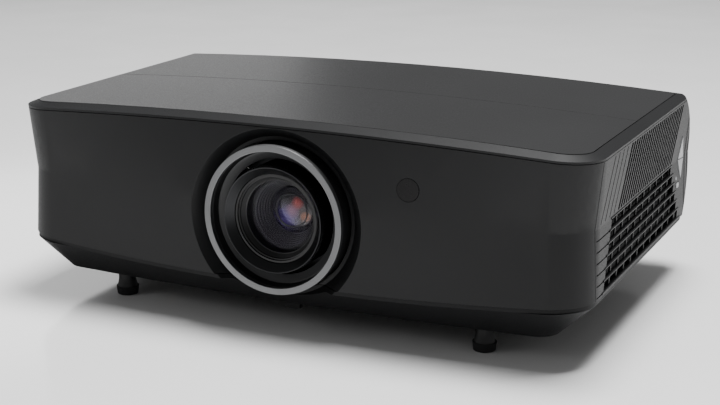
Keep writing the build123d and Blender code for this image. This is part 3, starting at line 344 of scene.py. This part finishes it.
def painted_glint_glass(name):
    """The deep element of a lens: near black, with a few soft spots of colour painted in as its coloured
    reflections.
    """
    material, tree, shader, place = new_material(name)
    mixed = None
    for (x, z), colour, reach in PAINTED_GLINTS:
        fade = tree.nodes.new("ShaderNodeMapRange")
        fade.interpolation_type = "SMOOTHSTEP"
        fade.inputs["From Min"].default_value = reach
        fade.inputs["From Max"].default_value = reach * 0.05
        tree.links.new(from_lens_axis(tree, place, x, z), fade.inputs["Value"])
        mix = tree.nodes.new("ShaderNodeMix")
        mix.data_type = "RGBA"
        mix.inputs["B"].default_value = (*colour, 1.0)
        tree.links.new(fade.outputs["Result"], mix.inputs["Factor"])
        if mixed is None:
            mix.inputs["A"].default_value = INNER_GLASS_BASE
        else:
            tree.links.new(mixed, mix.inputs["A"])
        mixed = mix.outputs["Result"]
    tree.links.new(mixed, shader.inputs["Base Color"])
    haze = noise(tree, place, 90.0, 1.0)
    tree.links.new(ramp(tree, haze, grey(0.16), grey(0.30)), shader.inputs["Roughness"])
    bump(tree, shader, haze, 0.15 * MM)
    shader.inputs["Metallic"].default_value = 0.35
    shader.inputs["Coat Weight"].default_value = 1.0
    shader.inputs["Coat Roughness"].default_value = 0.03
    return material


def circuit(name):
    """Green solder resist with copper tracks showing through."""
    material, tree, shader, place = new_material(name)
    tracks = tree.nodes.new("ShaderNodeTexVoronoi")
    tracks.distance = "MANHATTAN"
    tracks.inputs["Scale"].default_value = 210.0
    tree.links.new(place, tracks.inputs["Vector"])
    colours = ramp(tree, tracks.outputs["Distance"], (0.03, 0.16, 0.07), (0.006, 0.05, 0.022), 0.2, 0.5)
    gloss = ramp(tree, noise(tree, place, 900.0), grey(0.28), grey(0.42))
    tree.links.new(colours, shader.inputs["Base Color"])
    tree.links.new(gloss, shader.inputs["Roughness"])
    bump(tree, shader, tracks.outputs["Distance"], 0.02 * MM)
    return material


# %% [markdown]
# ### One finish for each material slot
#
# The record gives every node a material slot. Each slot has one finish here, and every node takes
# the finish of its slot, so no part is left bare even if no piece replaces it later.

# %% One finish for each slot of the record
FINISH = {
    "shell": moulded("shell_plastic", (0.0075, 0.0077, 0.0082), 0.46, depth=0.018, specular=0.28),
    "pan": moulded("pan_plastic", (0.0060, 0.0061, 0.0066), 0.52, depth=0.03, specular=0.22),
    "rim": moulded("rim_plastic", (0.0090, 0.0092, 0.0098), 0.44, depth=0.015, specular=0.24),
    "top": moulded("top_plastic", (0.0120, 0.0122, 0.0128), 0.38, depth=0.012, specular=0.38),
    "silver": spun("silver_ring", (0.185, 0.187, 0.190), 0.46),
    "steel": milled("zinc_steel", (0.44, 0.44, 0.45), 0.38),
    "plated_steel": milled("nickel_plate", (0.66, 0.65, 0.62), 0.26),
    "alloy": milled("milled_alloy", (0.58, 0.59, 0.60), 0.36),
    "cast_alloy": cast("cast_alloy", (0.34, 0.35, 0.36)),
    "black_metal": spun("black_anodised", (0.036, 0.0365, 0.038), 0.36),
    "black_plastic": moulded("black_plastic", (0.0085, 0.0085, 0.0090), 0.42, depth=0.02, specular=0.45),
    "grey_plastic": moulded("mask_plastic", (0.034, 0.0345, 0.036), 0.50, depth=0.015),
    "lens_glass": coated_glass("lens_glass", (0.010, 0.009, 0.014)),
    # The deep element takes painted reflections: coloured glints painted into its base colour.
    "mirror_glass": painted_glint_glass("inner_glass_painted_glints"),
    "dark_window": moulded("receiver_window", (0.0050, 0.0045, 0.0048), 0.30, grain=900.0, depth=0.001,
                           specular=0.25),
    "light_guide": moulded("light_guide", (0.30, 0.32, 0.35), 0.25, depth=0.004, coat=0.4),
    "key_silver": moulded("key_silver", (0.30, 0.305, 0.315), 0.34, grain=1400.0, depth=0.006,
                          coat=0.3),
    "board": circuit("circuit_board"),
    "brass": milled("turned_brass", (0.72, 0.50, 0.20), 0.30),
    "rubber": rubber("foot_rubber"),
}
print("finishes", len(FINISH))


def dress(obj, finish):
    """Give the whole object one finish."""
    obj.data.materials.clear()
    obj.data.materials.append(finish)
    for polygon in obj.data.polygons:
        polygon.material_index = 0


for name, node in frame["nodes"].items():
    dress(node, FINISH[SLOT_OF[name]])
print("dressed nodes", len(frame["nodes"]))

# %% [markdown]
# ## Rounded edges on the moulded panels
#
# No moulding has a knife edge: a radius of a few tenths of a millimetre catches a thin line of
# light, and that line is what tells the eye that a panel is solid plastic. The engineering model
# has sharp edges, so each panel is copied, its loose triangles are welded, flat areas are merged,
# and a Bevel modifier limited by angle rounds only the real edges.


# %% Panels with rounded edges
WELD = 0.004 * MM        # corners closer than this are one corner
FLAT_DEGREES = 0.05      # faces that bend less than this are one face


def rounded_copy(node, width, degrees=28.0, segments=2):
    """A welded copy of a node with its sharp edges rounded."""
    bm = bmesh.new()
    bm.from_mesh(frame["nodes"][node].data)
    bmesh.ops.remove_doubles(bm, verts=bm.verts, dist=WELD)
    bmesh.ops.dissolve_limit(bm, angle_limit=math.radians(FLAT_DEGREES), verts=bm.verts, edges=bm.edges)
    obj = new_object("shaped_" + node, mesh_from("shaped_" + node, bm))
    dress(obj, FINISH[SLOT_OF[node]])
    modifier = obj.modifiers.new("edges", "BEVEL")
    modifier.width = width
    modifier.segments = segments
    modifier.limit_method = "ANGLE"
    modifier.angle_limit = math.radians(degrees)
    modifier.use_clamp_overlap = True
    freeze(obj)
    smooth(obj, 40.0)
    even_normals(obj)
    publish(obj, BODY_OF[node], SLOT_OF[node], node)
    print(obj.name, triangles(obj), "triangles")
    return obj


ROUNDED_EDGES = {  # node: width of the rounded edge in millimetres
    "front_panel": 0.35,
    "rear_panel": 0.35,
    "rim_frame": 0.4,
    "hatch": 0.3,
    "rear_top_cover": 0.3,
    "base_pan": 0.4,
    "upper_key": 0.35,
    "lower_key": 0.35,
    "power_button": 0.3,
    "shift_dial": 0.3,
}
for panel, edge in ROUNDED_EDGES.items():
    rounded_copy(panel, edge * MM)

# %% [markdown]
# ## The lens
#
# Everything round the lens axis was turned on a lathe or moulded in a turned tool, so each piece is
# a profile swept round the axis. A profile is a closed list of (radius, distance behind the front
# of the trim ring) in millimetres. Its corners are rounded before the sweep: an edge without a
# radius would never show the thin bright line that runs round a real lens.


# %% Lathe
TURN_STEPS = 168


def rounded_profile(points, radius, steps=3):
    """Closed profile with every corner replaced by a small arc."""
    result = []
    for i, point in enumerate(points):
        here = Vector(point)
        before = Vector(points[i - 1]) - here
        after = Vector(points[(i + 1) % len(points)]) - here
        reach = min(radius, before.length * 0.45, after.length * 0.45)
        start = here + before.normalized() * reach
        end = here + after.normalized() * reach
        for k in range(steps + 1):
            t = k / steps
            result.append(start * (1 - t) ** 2 + here * 2 * t * (1 - t) + end * t ** 2)
    return result


def lathe(name, profile, body, slot, *nodes, rounding=0.25):
    """Sweep a closed profile round the lens axis."""
    if rounding:
        profile = rounded_profile(profile, rounding)
    bm = bmesh.new()
    loops = []
    for step in range(TURN_STEPS):
        angle = 2 * math.pi * step / TURN_STEPS
        across, up = math.sin(angle), math.cos(angle)
        loops.append([bm.verts.new((r * MM * across, FRONT_Y + y * MM, LENS_Z + r * MM * up))
                      for r, y in profile])
    for step in range(TURN_STEPS):
        here, there = loops[step], loops[(step + 1) % TURN_STEPS]
        for i in range(len(profile)):
            j = (i + 1) % len(profile)
            bm.faces.new((here[i], there[i], there[j], here[j]))
    bmesh.ops.remove_doubles(bm, verts=bm.verts, dist=0.002 * MM)
    bmesh.ops.recalc_face_normals(bm, faces=bm.faces)
    obj = new_object(name, mesh_from(name, bm))
    dress(obj, FINISH[slot])
    smooth(obj, 36.0)
    even_normals(obj)
    publish(obj, body, slot, *nodes)
    print(name, triangles(obj), "triangles")
    return obj


def dome_profile(radius, front, edge, thick, back, steps=14):
    """Closed half section of a lens element: front bulge, straight rim, back bulge."""
    def bulge(depth, t):
        return depth * (1 - math.cos(t * math.pi / 2)) if depth else 0.0
    def reach(t):
        return radius * math.sin(t * math.pi / 2)
    face = [(reach(t / steps), edge - front + bulge(front, t / steps)) for t in range(steps + 1)]
    rear = [(reach(t / steps), edge + thick + back - bulge(back, t / steps))
            for t in range(steps, -1, -1)]
    return face + rear


# %% [markdown]
# The trim ring is the only bright piece. Behind it the shroud stays dark, and the pale mask ring
# closes the gap round the lens, which has to move up and down for the picture shift.

# %% Trim ring, shroud and mask ring
OUTER_R = RING_R / MM
RING_WIDE, RING_DEEP = 5.2, 4.6
SHROUD_R, SHROUD_BORE_R, FLANGE_R = 58.4, 53.0, 66.4
MASK_OUTER_R, MASK_BORE_R = 52.8, 46.1

lathe("turned_trim_ring",
      [(OUTER_R, 0.0), (OUTER_R, RING_DEEP), (OUTER_R - RING_WIDE, RING_DEEP), (OUTER_R - RING_WIDE, 0.0)],
      "chassis", "silver", "lens_trim_ring", rounding=0.4)
lathe("turned_shroud",
      [(SHROUD_R, 4.7), (54.0, 4.7), (SHROUD_BORE_R, 10.3), (SHROUD_BORE_R, 13.3), (56.0, 13.3),
       (56.0, 34.0), (FLANGE_R, 34.0), (FLANGE_R, 31.0), (SHROUD_R, 31.0)],
      "chassis", "black_plastic", "lens_shroud")
lathe("turned_mask_ring",
      [(MASK_OUTER_R, 10.6), (MASK_OUTER_R, 23.2), (48.2, 23.2), (MASK_BORE_R, 16.5), (MASK_BORE_R, 13.6),
       (51.6, 10.9)],
      "chassis", "grey_plastic", "mask_ring", rounding=0.2)

# %% [markdown]
# The front of the focus ring is a shallow funnel of satin black metal. Behind it the cell that
# carries the front element is cut with fine steps that stop stray light.

# %% Focus ring and front cell
FOCUS_R, GRIP_R, FOCUS_BORE_R, LIP_R = 42.0, 49.0, 38.06, 35.6
CELL_R, GLASS_SEAT_R, CELL_BORE_R = 35.3, 28.95, 27.0
STEP_COUNT, STEP_IN, STEP_BACK, STEP_LAND = 5, 0.45, 0.72, 0.4

lathe("turned_focus_ring",
      [(FOCUS_R, 0.4), (FOCUS_R, 36.0), (GRIP_R, 36.0), (GRIP_R, 48.0), (FOCUS_BORE_R, 48.0),
       (FOCUS_BORE_R, 8.0), (LIP_R, 8.0), (LIP_R, 6.4), (41.2, 0.4)],
      "focus_ring", "black_metal", "focus_ring", rounding=0.35)
CELL_STEPS = [(31.9 - STEP_IN * k, 9.6 + STEP_BACK * k + land)
              for k in range(STEP_COUNT) for land in (0.0, STEP_LAND)]
lathe("turned_front_cell",
      [(CELL_R, 6.9), (33.6, 6.9), (33.6, 8.4), (32.4, 8.4)] + CELL_STEPS
      + [(29.4, 13.4), (GLASS_SEAT_R, 13.4), (GLASS_SEAT_R, 22.0), (CELL_BORE_R, 22.0), (CELL_BORE_R, 40.0),
         (CELL_R, 40.0)],
      "front_cell", "black_plastic", "front_cell", rounding=0.12)

# %% [markdown]
# Looking into the lens, the eye meets a clear front element, a stack of dark baffles that get
# narrower, and a coated inner element with violet and amber reflections painted into its colour.

# %% Glass and baffles
BAFFLE_COUNT, BAFFLE_IN, BAFFLE_PITCH = 6, 1.15, 2.3
BAFFLE_R, INNER_R = 26.95, 19.2

lathe("front_element", dome_profile(28.8, front=4.4, edge=15.9, thick=4.0, back=1.0),
      "front_cell", "lens_glass", "front_glass", rounding=0.0)
BAFFLES = []
for k in range(BAFFLE_COUNT):
    inward, back = BAFFLE_IN * k, BAFFLE_PITCH * k
    BAFFLES += [(26.2 - inward, 22.6 + back), (25.4 - inward, 22.9 + back)]
lathe("baffles", [(BAFFLE_R, 22.4)] + BAFFLES + [(INNER_R, 36.4), (INNER_R, 38.6), (BAFFLE_R, 38.6)],
      "front_cell", "black_metal", rounding=0.15)
lathe("inner_ring", [(13.9, 33.2), (13.0, 33.4), (12.8, 34.6), (13.9, 35.4)],
      "front_cell", "grey_plastic", rounding=0.15)
lathe("inner_element", dome_profile(19.0, front=4.2, edge=37.2, thick=1.2, back=0.0),
      "front_cell", "mirror_glass", rounding=0.0)

# %% [markdown]
# ## Pieces that repeat
#
# Ribs, bars, wires and screws are built with Geometry Nodes. A tree makes one piece, places it as
# many times as its Count asks, turns the instances into real geometry and gives them their finish.
# The same tree serves every place where the pattern repeats; only its inputs change.


# %% Geometry Nodes helpers
def new_tree(name, sockets):
    """A geometry tree with named inputs; sockets maps a name to its socket kind."""
    tree = bpy.data.node_groups.new(name, "GeometryNodeTree")
    tree.interface.new_socket("Geometry", in_out="INPUT", socket_type="NodeSocketGeometry")
    for label, kind in sockets.items():
        tree.interface.new_socket(label, in_out="INPUT", socket_type="NodeSocket" + kind)
    tree.interface.new_socket("Geometry", in_out="OUTPUT", socket_type="NodeSocketGeometry")
    return tree, tree.nodes.new("NodeGroupInput").outputs, tree.nodes.new("NodeGroupOutput")


def add(tree, kind, operation=None, **inputs):
    """A node with its inputs linked or set: each is called by its name, or by i and its number."""
    node = tree.nodes.new(kind)
    if operation:
        node.operation = operation
    for key, value in inputs.items():
        numbered = key[0] == "i" and key[1:].isdigit()
        socket = node.inputs[int(key[1:]) if numbered else key]
        if isinstance(value, bpy.types.NodeSocket):
            tree.links.new(value, socket)
        else:
            socket.default_value = value
    return node


def finish_tree(tree, instances, material, output):
    """Realize the instances, set their material and end the tree."""
    real = add(tree, "GeometryNodeRealizeInstances", Geometry=instances)
    dressed = add(tree, "GeometryNodeSetMaterial", Geometry=real.outputs[0], Material=material)
    tree.links.new(dressed.outputs[0], output.inputs[0])
    return tree


def rod_along_y(tree, sides):
    """A rod one unit thick and one unit long, along Y."""
    rod = add(tree, "GeometryNodeMeshCylinder", Vertices=sides, Radius=0.5, Depth=1.0)
    turned = add(tree, "GeometryNodeTransform", Geometry=rod.outputs["Mesh"],
                 Rotation=(math.pi / 2, 0.0, 0.0))
    return turned.outputs[0]


def grow(name, tree, values, body, slot, *nodes, points=()):
    """Run a tree on a new object and keep its result as a plain mesh."""
    mesh = bpy.data.meshes.new(name)
    mesh.from_pydata(points, [], [])
    obj = new_object(name, mesh)
    modifier = obj.modifiers.new("pattern", "NODES")
    modifier.node_group = tree
    sockets = {item.name: item.identifier for item in tree.interface.items_tree
               if item.in_out == "INPUT"}
    for label, value in {**values, "Finish": FINISH[slot]}.items():
        modifier[sockets[label]] = value
    freeze(obj)
    smooth(obj, 40.0)
    publish(obj, body, slot, *nodes)
    print(name, triangles(obj), "triangles")
    return obj


# %% [markdown]
# The first tree sets ribs round the lens axis. Each point gets an angle from its index; sine and
# cosine place it on the circle and the same angle turns the rib outwards.

# %% Tree: ribs round an axis
def ribs_tree():
    """Ribs round an axis along Y."""
    tree, given, output = new_tree("ribs_round_axis", {
        "Count": "Int", "Radius": "Float", "Size": "Vector", "Middle": "Vector", "Finish": "Material"})
    index = add(tree, "GeometryNodeInputIndex").outputs[0]
    share = add(tree, "ShaderNodeMath", "DIVIDE", i0=index, i1=given["Count"]).outputs[0]
    angle = add(tree, "ShaderNodeMath", "MULTIPLY", i0=share, i1=2 * math.pi).outputs[0]
    sine = add(tree, "ShaderNodeMath", "SINE", i0=angle).outputs[0]
    cosine = add(tree, "ShaderNodeMath", "COSINE", i0=angle).outputs[0]
    spoke = add(tree, "ShaderNodeCombineXYZ", X=sine, Z=cosine).outputs[0]
    arm = add(tree, "ShaderNodeVectorMath", "SCALE", i0=spoke, Scale=given["Radius"]).outputs[0]
    place = add(tree, "ShaderNodeVectorMath", "ADD", i0=arm, i1=given["Middle"]).outputs[0]
    turn = add(tree, "ShaderNodeCombineXYZ", Y=angle).outputs[0]
    points = add(tree, "GeometryNodePoints", Count=given["Count"], Position=place).outputs[0]
    ribs = add(tree, "GeometryNodeInstanceOnPoints", Points=points, Instance=rod_along_y(tree, 8),
               Rotation=turn, Scale=given["Size"]).outputs[0]
    return finish_tree(tree, ribs, given["Finish"], output)


RIBS = ribs_tree()
grow("focus_ribs", RIBS,
     {"Count": 110, "Radius": FOCUS_R * MM, "Size": (0.0011, 0.029, 0.0012),
      "Middle": (0.0, FRONT_Y + 0.0192, LENS_Z)},
     "focus_ring", "black_metal")
grow("focus_grips", RIBS,
     {"Count": 48, "Radius": GRIP_R * MM, "Size": (0.0020, 0.0100, 0.0016),
      "Middle": (0.0, FRONT_Y + 0.0425, LENS_Z)},
     "focus_ring", "black_metal")

# %% [markdown]
# The second tree lays level bars. Each bar is longer than the one above it, because the grille
# widens downwards, so the length grows with the index as well as the place. The bars stand a little
# proud of the leaning uprights behind them and catch the light.

# %% Tree: level bars
def bars_tree():
    """Bars along Y, stepped in place and in length."""
    tree, given, output = new_tree("level_bars", {
        "Count": "Int", "First": "Vector", "Step": "Vector", "Length": "Float", "Length Step": "Float",
        "Thickness": "Vector", "Finish": "Material"})
    index = add(tree, "GeometryNodeInputIndex").outputs[0]
    move = add(tree, "ShaderNodeVectorMath", "SCALE", i0=given["Step"], Scale=index).outputs[0]
    place = add(tree, "ShaderNodeVectorMath", "ADD", i0=given["First"], i1=move).outputs[0]
    extra = add(tree, "ShaderNodeMath", "MULTIPLY", i0=index, i1=given["Length Step"]).outputs[0]
    length = add(tree, "ShaderNodeMath", "ADD", i0=extra, i1=given["Length"]).outputs[0]
    along = add(tree, "ShaderNodeCombineXYZ", Y=length).outputs[0]
    size = add(tree, "ShaderNodeVectorMath", "ADD", i0=along, i1=given["Thickness"]).outputs[0]
    points = add(tree, "GeometryNodePoints", Count=given["Count"], Position=place).outputs[0]
    bars = add(tree, "GeometryNodeInstanceOnPoints", Points=points, Instance=rod_along_y(tree, 12),
               Scale=size).outputs[0]
    return finish_tree(tree, bars, given["Finish"], output)


BARS = bars_tree()
SIDES = (("right", 1.0), ("left", -1.0))
WALL_X = 0.2447          # side wall at the crease
CREASE_Z = 0.1043
WALL_LEAN = 0.0395       # the lower wall steps out by this much for each unit down
BAR_COUNT = 7
BAR_SINK = 0.0002        # how far the middle of a bar lies behind the face of the wall
ROW = 0.00863            # from one bar to the next
BAR_Y, BAR_SHIFT = 0.0045, 0.00055
BAR_LENGTH, BAR_GROWTH = 0.186, 0.0089
for side, sign in SIDES:
    grow(side + "_grille_bars", BARS,
         {"Count": BAR_COUNT, "First": (sign * (WALL_X - BAR_SINK), BAR_Y, CREASE_Z),
          "Step": (sign * WALL_LEAN * ROW, BAR_SHIFT, -ROW), "Length": BAR_LENGTH,
          "Length Step": BAR_GROWTH, "Thickness": (0.0016, 0.0, 0.0021)},
         "chassis", "shell")

# %% [markdown]
# Behind every grille sits a dust screen of woven wire, and behind that a thin dark sheet that
# paints the shade inside the body. The third tree weaves the screen: two rows of wires, one upright
# and one level, a pitch apart.

# %% Tree: woven screen
def screen_tree():
    """Woven wires in the plane of Y and Z round a middle point."""
    tree, given, output = new_tree("woven_screen", {
        "Middle": "Vector", "Length": "Float", "Height": "Float", "Pitch": "Float", "Wire": "Float",
        "Finish": "Material"})
    joined = add(tree, "GeometryNodeJoinGeometry")
    upright, level = (math.pi / 2, 0.0, 0.0), (0.0, 0.0, 0.0)
    for run, across, turn in (("Length", "Height", upright), ("Height", "Length", level)):
        count = add(tree, "ShaderNodeMath", "DIVIDE", i0=given[run], i1=given["Pitch"]).outputs[0]
        middle = add(tree, "ShaderNodeMath", "MULTIPLY", i0=given[run], i1=-0.5).outputs[0]
        index = add(tree, "GeometryNodeInputIndex").outputs[0]
        along = add(tree, "ShaderNodeMath", "MULTIPLY_ADD",
                    i0=index, i1=given["Pitch"], i2=middle).outputs[0]
        shift = add(tree, "ShaderNodeCombineXYZ", **{"Y" if run == "Length" else "Z": along}).outputs[0]
        place = add(tree, "ShaderNodeVectorMath", "ADD", i0=shift, i1=given["Middle"]).outputs[0]
        size = add(tree, "ShaderNodeCombineXYZ",
                   X=given["Wire"], Y=given[across], Z=given["Wire"]).outputs[0]
        points = add(tree, "GeometryNodePoints", Count=count, Position=place).outputs[0]
        wires = add(tree, "GeometryNodeInstanceOnPoints", Points=points, Instance=rod_along_y(tree, 5),
                    Rotation=turn, Scale=size).outputs[0]
        tree.links.new(wires, joined.inputs[0])
    return finish_tree(tree, joined.outputs[0], given["Finish"], output)


def shade_sheet(name, low, high):
    """A thin dark sheet behind a screen, painted shade standing in for the dark inside of the body."""
    bm = bmesh.new()
    bmesh.ops.create_cube(bm, size=1.0)
    size = Vector(high) - Vector(low)
    bmesh.ops.transform(bm, matrix=Matrix.Diagonal((*size, 1.0)), verts=bm.verts)
    bmesh.ops.translate(bm, vec=(Vector(low) + Vector(high)) / 2, verts=bm.verts)
    obj = new_object(name, mesh_from(name, bm))
    dress(obj, FINISH["black_plastic"])
    print(name, triangles(obj), "triangles")
    return publish(obj, "chassis", "black_plastic")


SCREEN = screen_tree()
# Where the dark sheets of painted shade stand behind the screens.
SCREEN_X, SHEET_INNER_X, SHEET_OUTER_X = 0.2399, 0.2386, 0.2392
SHEET_FRONT_Y, SHEET_REAR_Y, LOW_REAR_Y = -0.112, 0.1115, 0.1215
SHEET_LOW_Z, SHEET_TOP_Z, LOW_TOP_Z = 0.0505, 0.1535, 0.064
for side, sign in SIDES:
    near, far = sorted((sign * SHEET_INNER_X, sign * SHEET_OUTER_X))
    grow(side + "_dust_screen", SCREEN,
         {"Middle": (sign * SCREEN_X, 0.0, 0.1025), "Length": 0.222, "Height": 0.102, "Pitch": 0.003,
          "Wire": 0.0005},
         "chassis", "black_plastic")
    # Painted shade: a dark sheet behind each screen, and a low one behind the rear of the grille.
    shade_sheet(side + "_screen_shade_sheet",
            (near, SHEET_FRONT_Y, SHEET_LOW_Z), (far, SHEET_REAR_Y, SHEET_TOP_Z))
    shade_sheet(side + "_low_shade_sheet", (near, SHEET_REAR_Y, SHEET_LOW_Z), (far, LOW_REAR_Y, LOW_TOP_Z))

# %% [markdown]
# The fourth tree makes recessed screw heads. The points come from the object itself, so a list of
# places is all that it needs. Each head is a short cylinder with a cross cut out of it.

# %% Tree: screw heads
HEAD_R, HEAD_HIGH = 0.0034, 0.0012
SLOT_LONG, SLOT_WIDE, SLOT_HIGH, SLOT_DROP = 0.0042, 0.0009, 0.0016, 0.0009


def screws_tree():
    """Screw heads that face down at the points of the mesh."""
    tree, given, output = new_tree("screw_heads", {
        "Radius": "Float", "Height": "Float", "Finish": "Material"})
    head = add(tree, "GeometryNodeMeshCylinder",
               Vertices=40, Radius=given["Radius"], Depth=given["Height"])
    arms = add(tree, "GeometryNodeJoinGeometry")
    for size in ((SLOT_LONG, SLOT_WIDE, SLOT_HIGH), (SLOT_WIDE, SLOT_LONG, SLOT_HIGH)):
        arm = add(tree, "GeometryNodeMeshCube", Size=size).outputs[0]
        low = add(tree, "GeometryNodeTransform", Geometry=arm,
                  Translation=(0.0, 0.0, -SLOT_DROP)).outputs[0]
        tree.links.new(low, arms.inputs[0])
    cross = add(tree, "GeometryNodeMeshBoolean", "DIFFERENCE")
    cross.solver = "EXACT"
    cross.inputs["Self Intersection"].default_value = True
    tree.links.new(head.outputs["Mesh"], cross.inputs["Mesh 1"])
    tree.links.new(arms.outputs[0], cross.inputs["Mesh 2"])
    screws = add(tree, "GeometryNodeInstanceOnPoints",
                 Points=given["Geometry"], Instance=cross.outputs[0])
    return finish_tree(tree, screws.outputs[0], given["Finish"], output)


SCREW_PLACES = [(sign * x, y) for x, y in ((0.200, 0.040), (0.090, -0.118), (0.090, 0.108))
                for sign in (-1.0, 1.0)]
grow("case_screw_heads", screws_tree(), {"Radius": HEAD_R, "Height": HEAD_HIGH},
     "chassis", "plated_steel", "case_screws",
     points=[(x, y, BASE_Z - HEAD_HIGH / 2) for x, y in SCREW_PLACES])

# %% [markdown]
# ## Camera
#
# The camera stands in front of the object, a little to the right and above, with a long lens that
# keeps the body's edges almost parallel.

# %% Camera
LENS_MM, SENSOR_MM = 75.75, 36.0
CAMERA_AZ = math.radians(24.94)
CAMERA_EL = math.radians(14.99)
CAMERA_ROLL = math.radians(0.11)
CAMERA_FAR = 1.26287
CAMERA_AIM = Vector((0.0182, -0.04365, 0.07986))


def place_camera():
    """The camera, in front of the object, to the right and above."""
    data = bpy.data.cameras.new("camera")
    data.lens = LENS_MM
    data.sensor_width = SENSOR_MM
    data.clip_start = 0.05
    camera = bpy.data.objects.new("camera", data)
    SCENE.collection.objects.link(camera)
    level = math.cos(CAMERA_EL)
    back = Vector((math.sin(CAMERA_AZ) * level, -math.cos(CAMERA_AZ) * level, math.sin(CAMERA_EL)))
    turn = back.to_track_quat("Z", "Y").to_matrix().to_4x4()
    roll = Matrix.Rotation(CAMERA_ROLL, 4, "Z")
    camera.matrix_world = Matrix.Translation(CAMERA_AIM + back * CAMERA_FAR) @ turn @ roll
    SCENE.camera = camera
    return camera


CAMERA = place_camera()
print("camera at", [round(v, 3) for v in CAMERA.matrix_world.translation])

# %% [markdown]
# ## Floor and lights
#
# Black plastic shows its shape only by what it reflects. A large soft box high above and behind
# the body lights the crowned top and fades towards its front; weak boxes at the left and right
# open the front panel and the side wall, and a low box behind the left draws a line on the rim.


# %% Floor and lights
def area_light(name, place, aim, size, power):
    """A rectangular soft box aimed at a point."""
    data = bpy.data.lights.new(name, "AREA")
    data.shape = "RECTANGLE"
    data.size, data.size_y = size
    data.energy = power
    light = bpy.data.objects.new(name, data)
    SCENE.collection.objects.link(light)
    direction = Vector(place) - Vector(aim)
    turn = direction.to_track_quat("Z", "Y").to_matrix().to_4x4()
    light.matrix_world = Matrix.Translation(place) @ turn
    print(name, power, "W")
    return light


def studio_floor():
    """A pale floor, big enough to fill the view."""
    bm = bmesh.new()
    bmesh.ops.create_grid(bm, x_segments=8, y_segments=8, size=6.0)
    floor = new_object("studio_floor", mesh_from("studio_floor", bm))
    material, tree, shader, place = new_material("pale_floor")
    colours = ramp(tree, noise(tree, place, 3.0), grey(0.92), grey(0.94))
    gloss = ramp(tree, noise(tree, place, 8.0), grey(0.14), grey(0.19))
    tree.links.new(colours, shader.inputs["Base Color"])
    tree.links.new(gloss, shader.inputs["Roughness"])
    shader.inputs["Coat Weight"].default_value = 0.5
    shader.inputs["Coat Roughness"].default_value = 0.10
    dress(floor, material)
    return floor


WORLD_STRENGTH = 0.18


def studio_world():
    """An even white surround."""
    world = bpy.data.worlds.new("studio")
    world.use_nodes = True
    background = world.node_tree.nodes["Background"]
    background.inputs["Color"].default_value = (1.0, 1.0, 1.0, 1.0)
    background.inputs["Strength"].default_value = WORLD_STRENGTH
    SCENE.world = world


studio_floor()
studio_world()
area_light("over_box", (0.25, 0.55, 3.6), (0.1, 0.3, 0.0), (1.5, 1.2), 320.0)
area_light("left_box", (-1.7, -1.5, 1.1), (0.0, -0.1, 0.08), (0.9, 1.0), 5.0)
area_light("right_box", (1.9, -0.3, 0.7), (0.2, 0.0, 0.08), (0.6, 0.9), 1.5)
area_light("rim_box", (-1.25, 1.45, 0.55), (-0.05, 0.0, 0.16), (0.8, 0.4), 1.6)
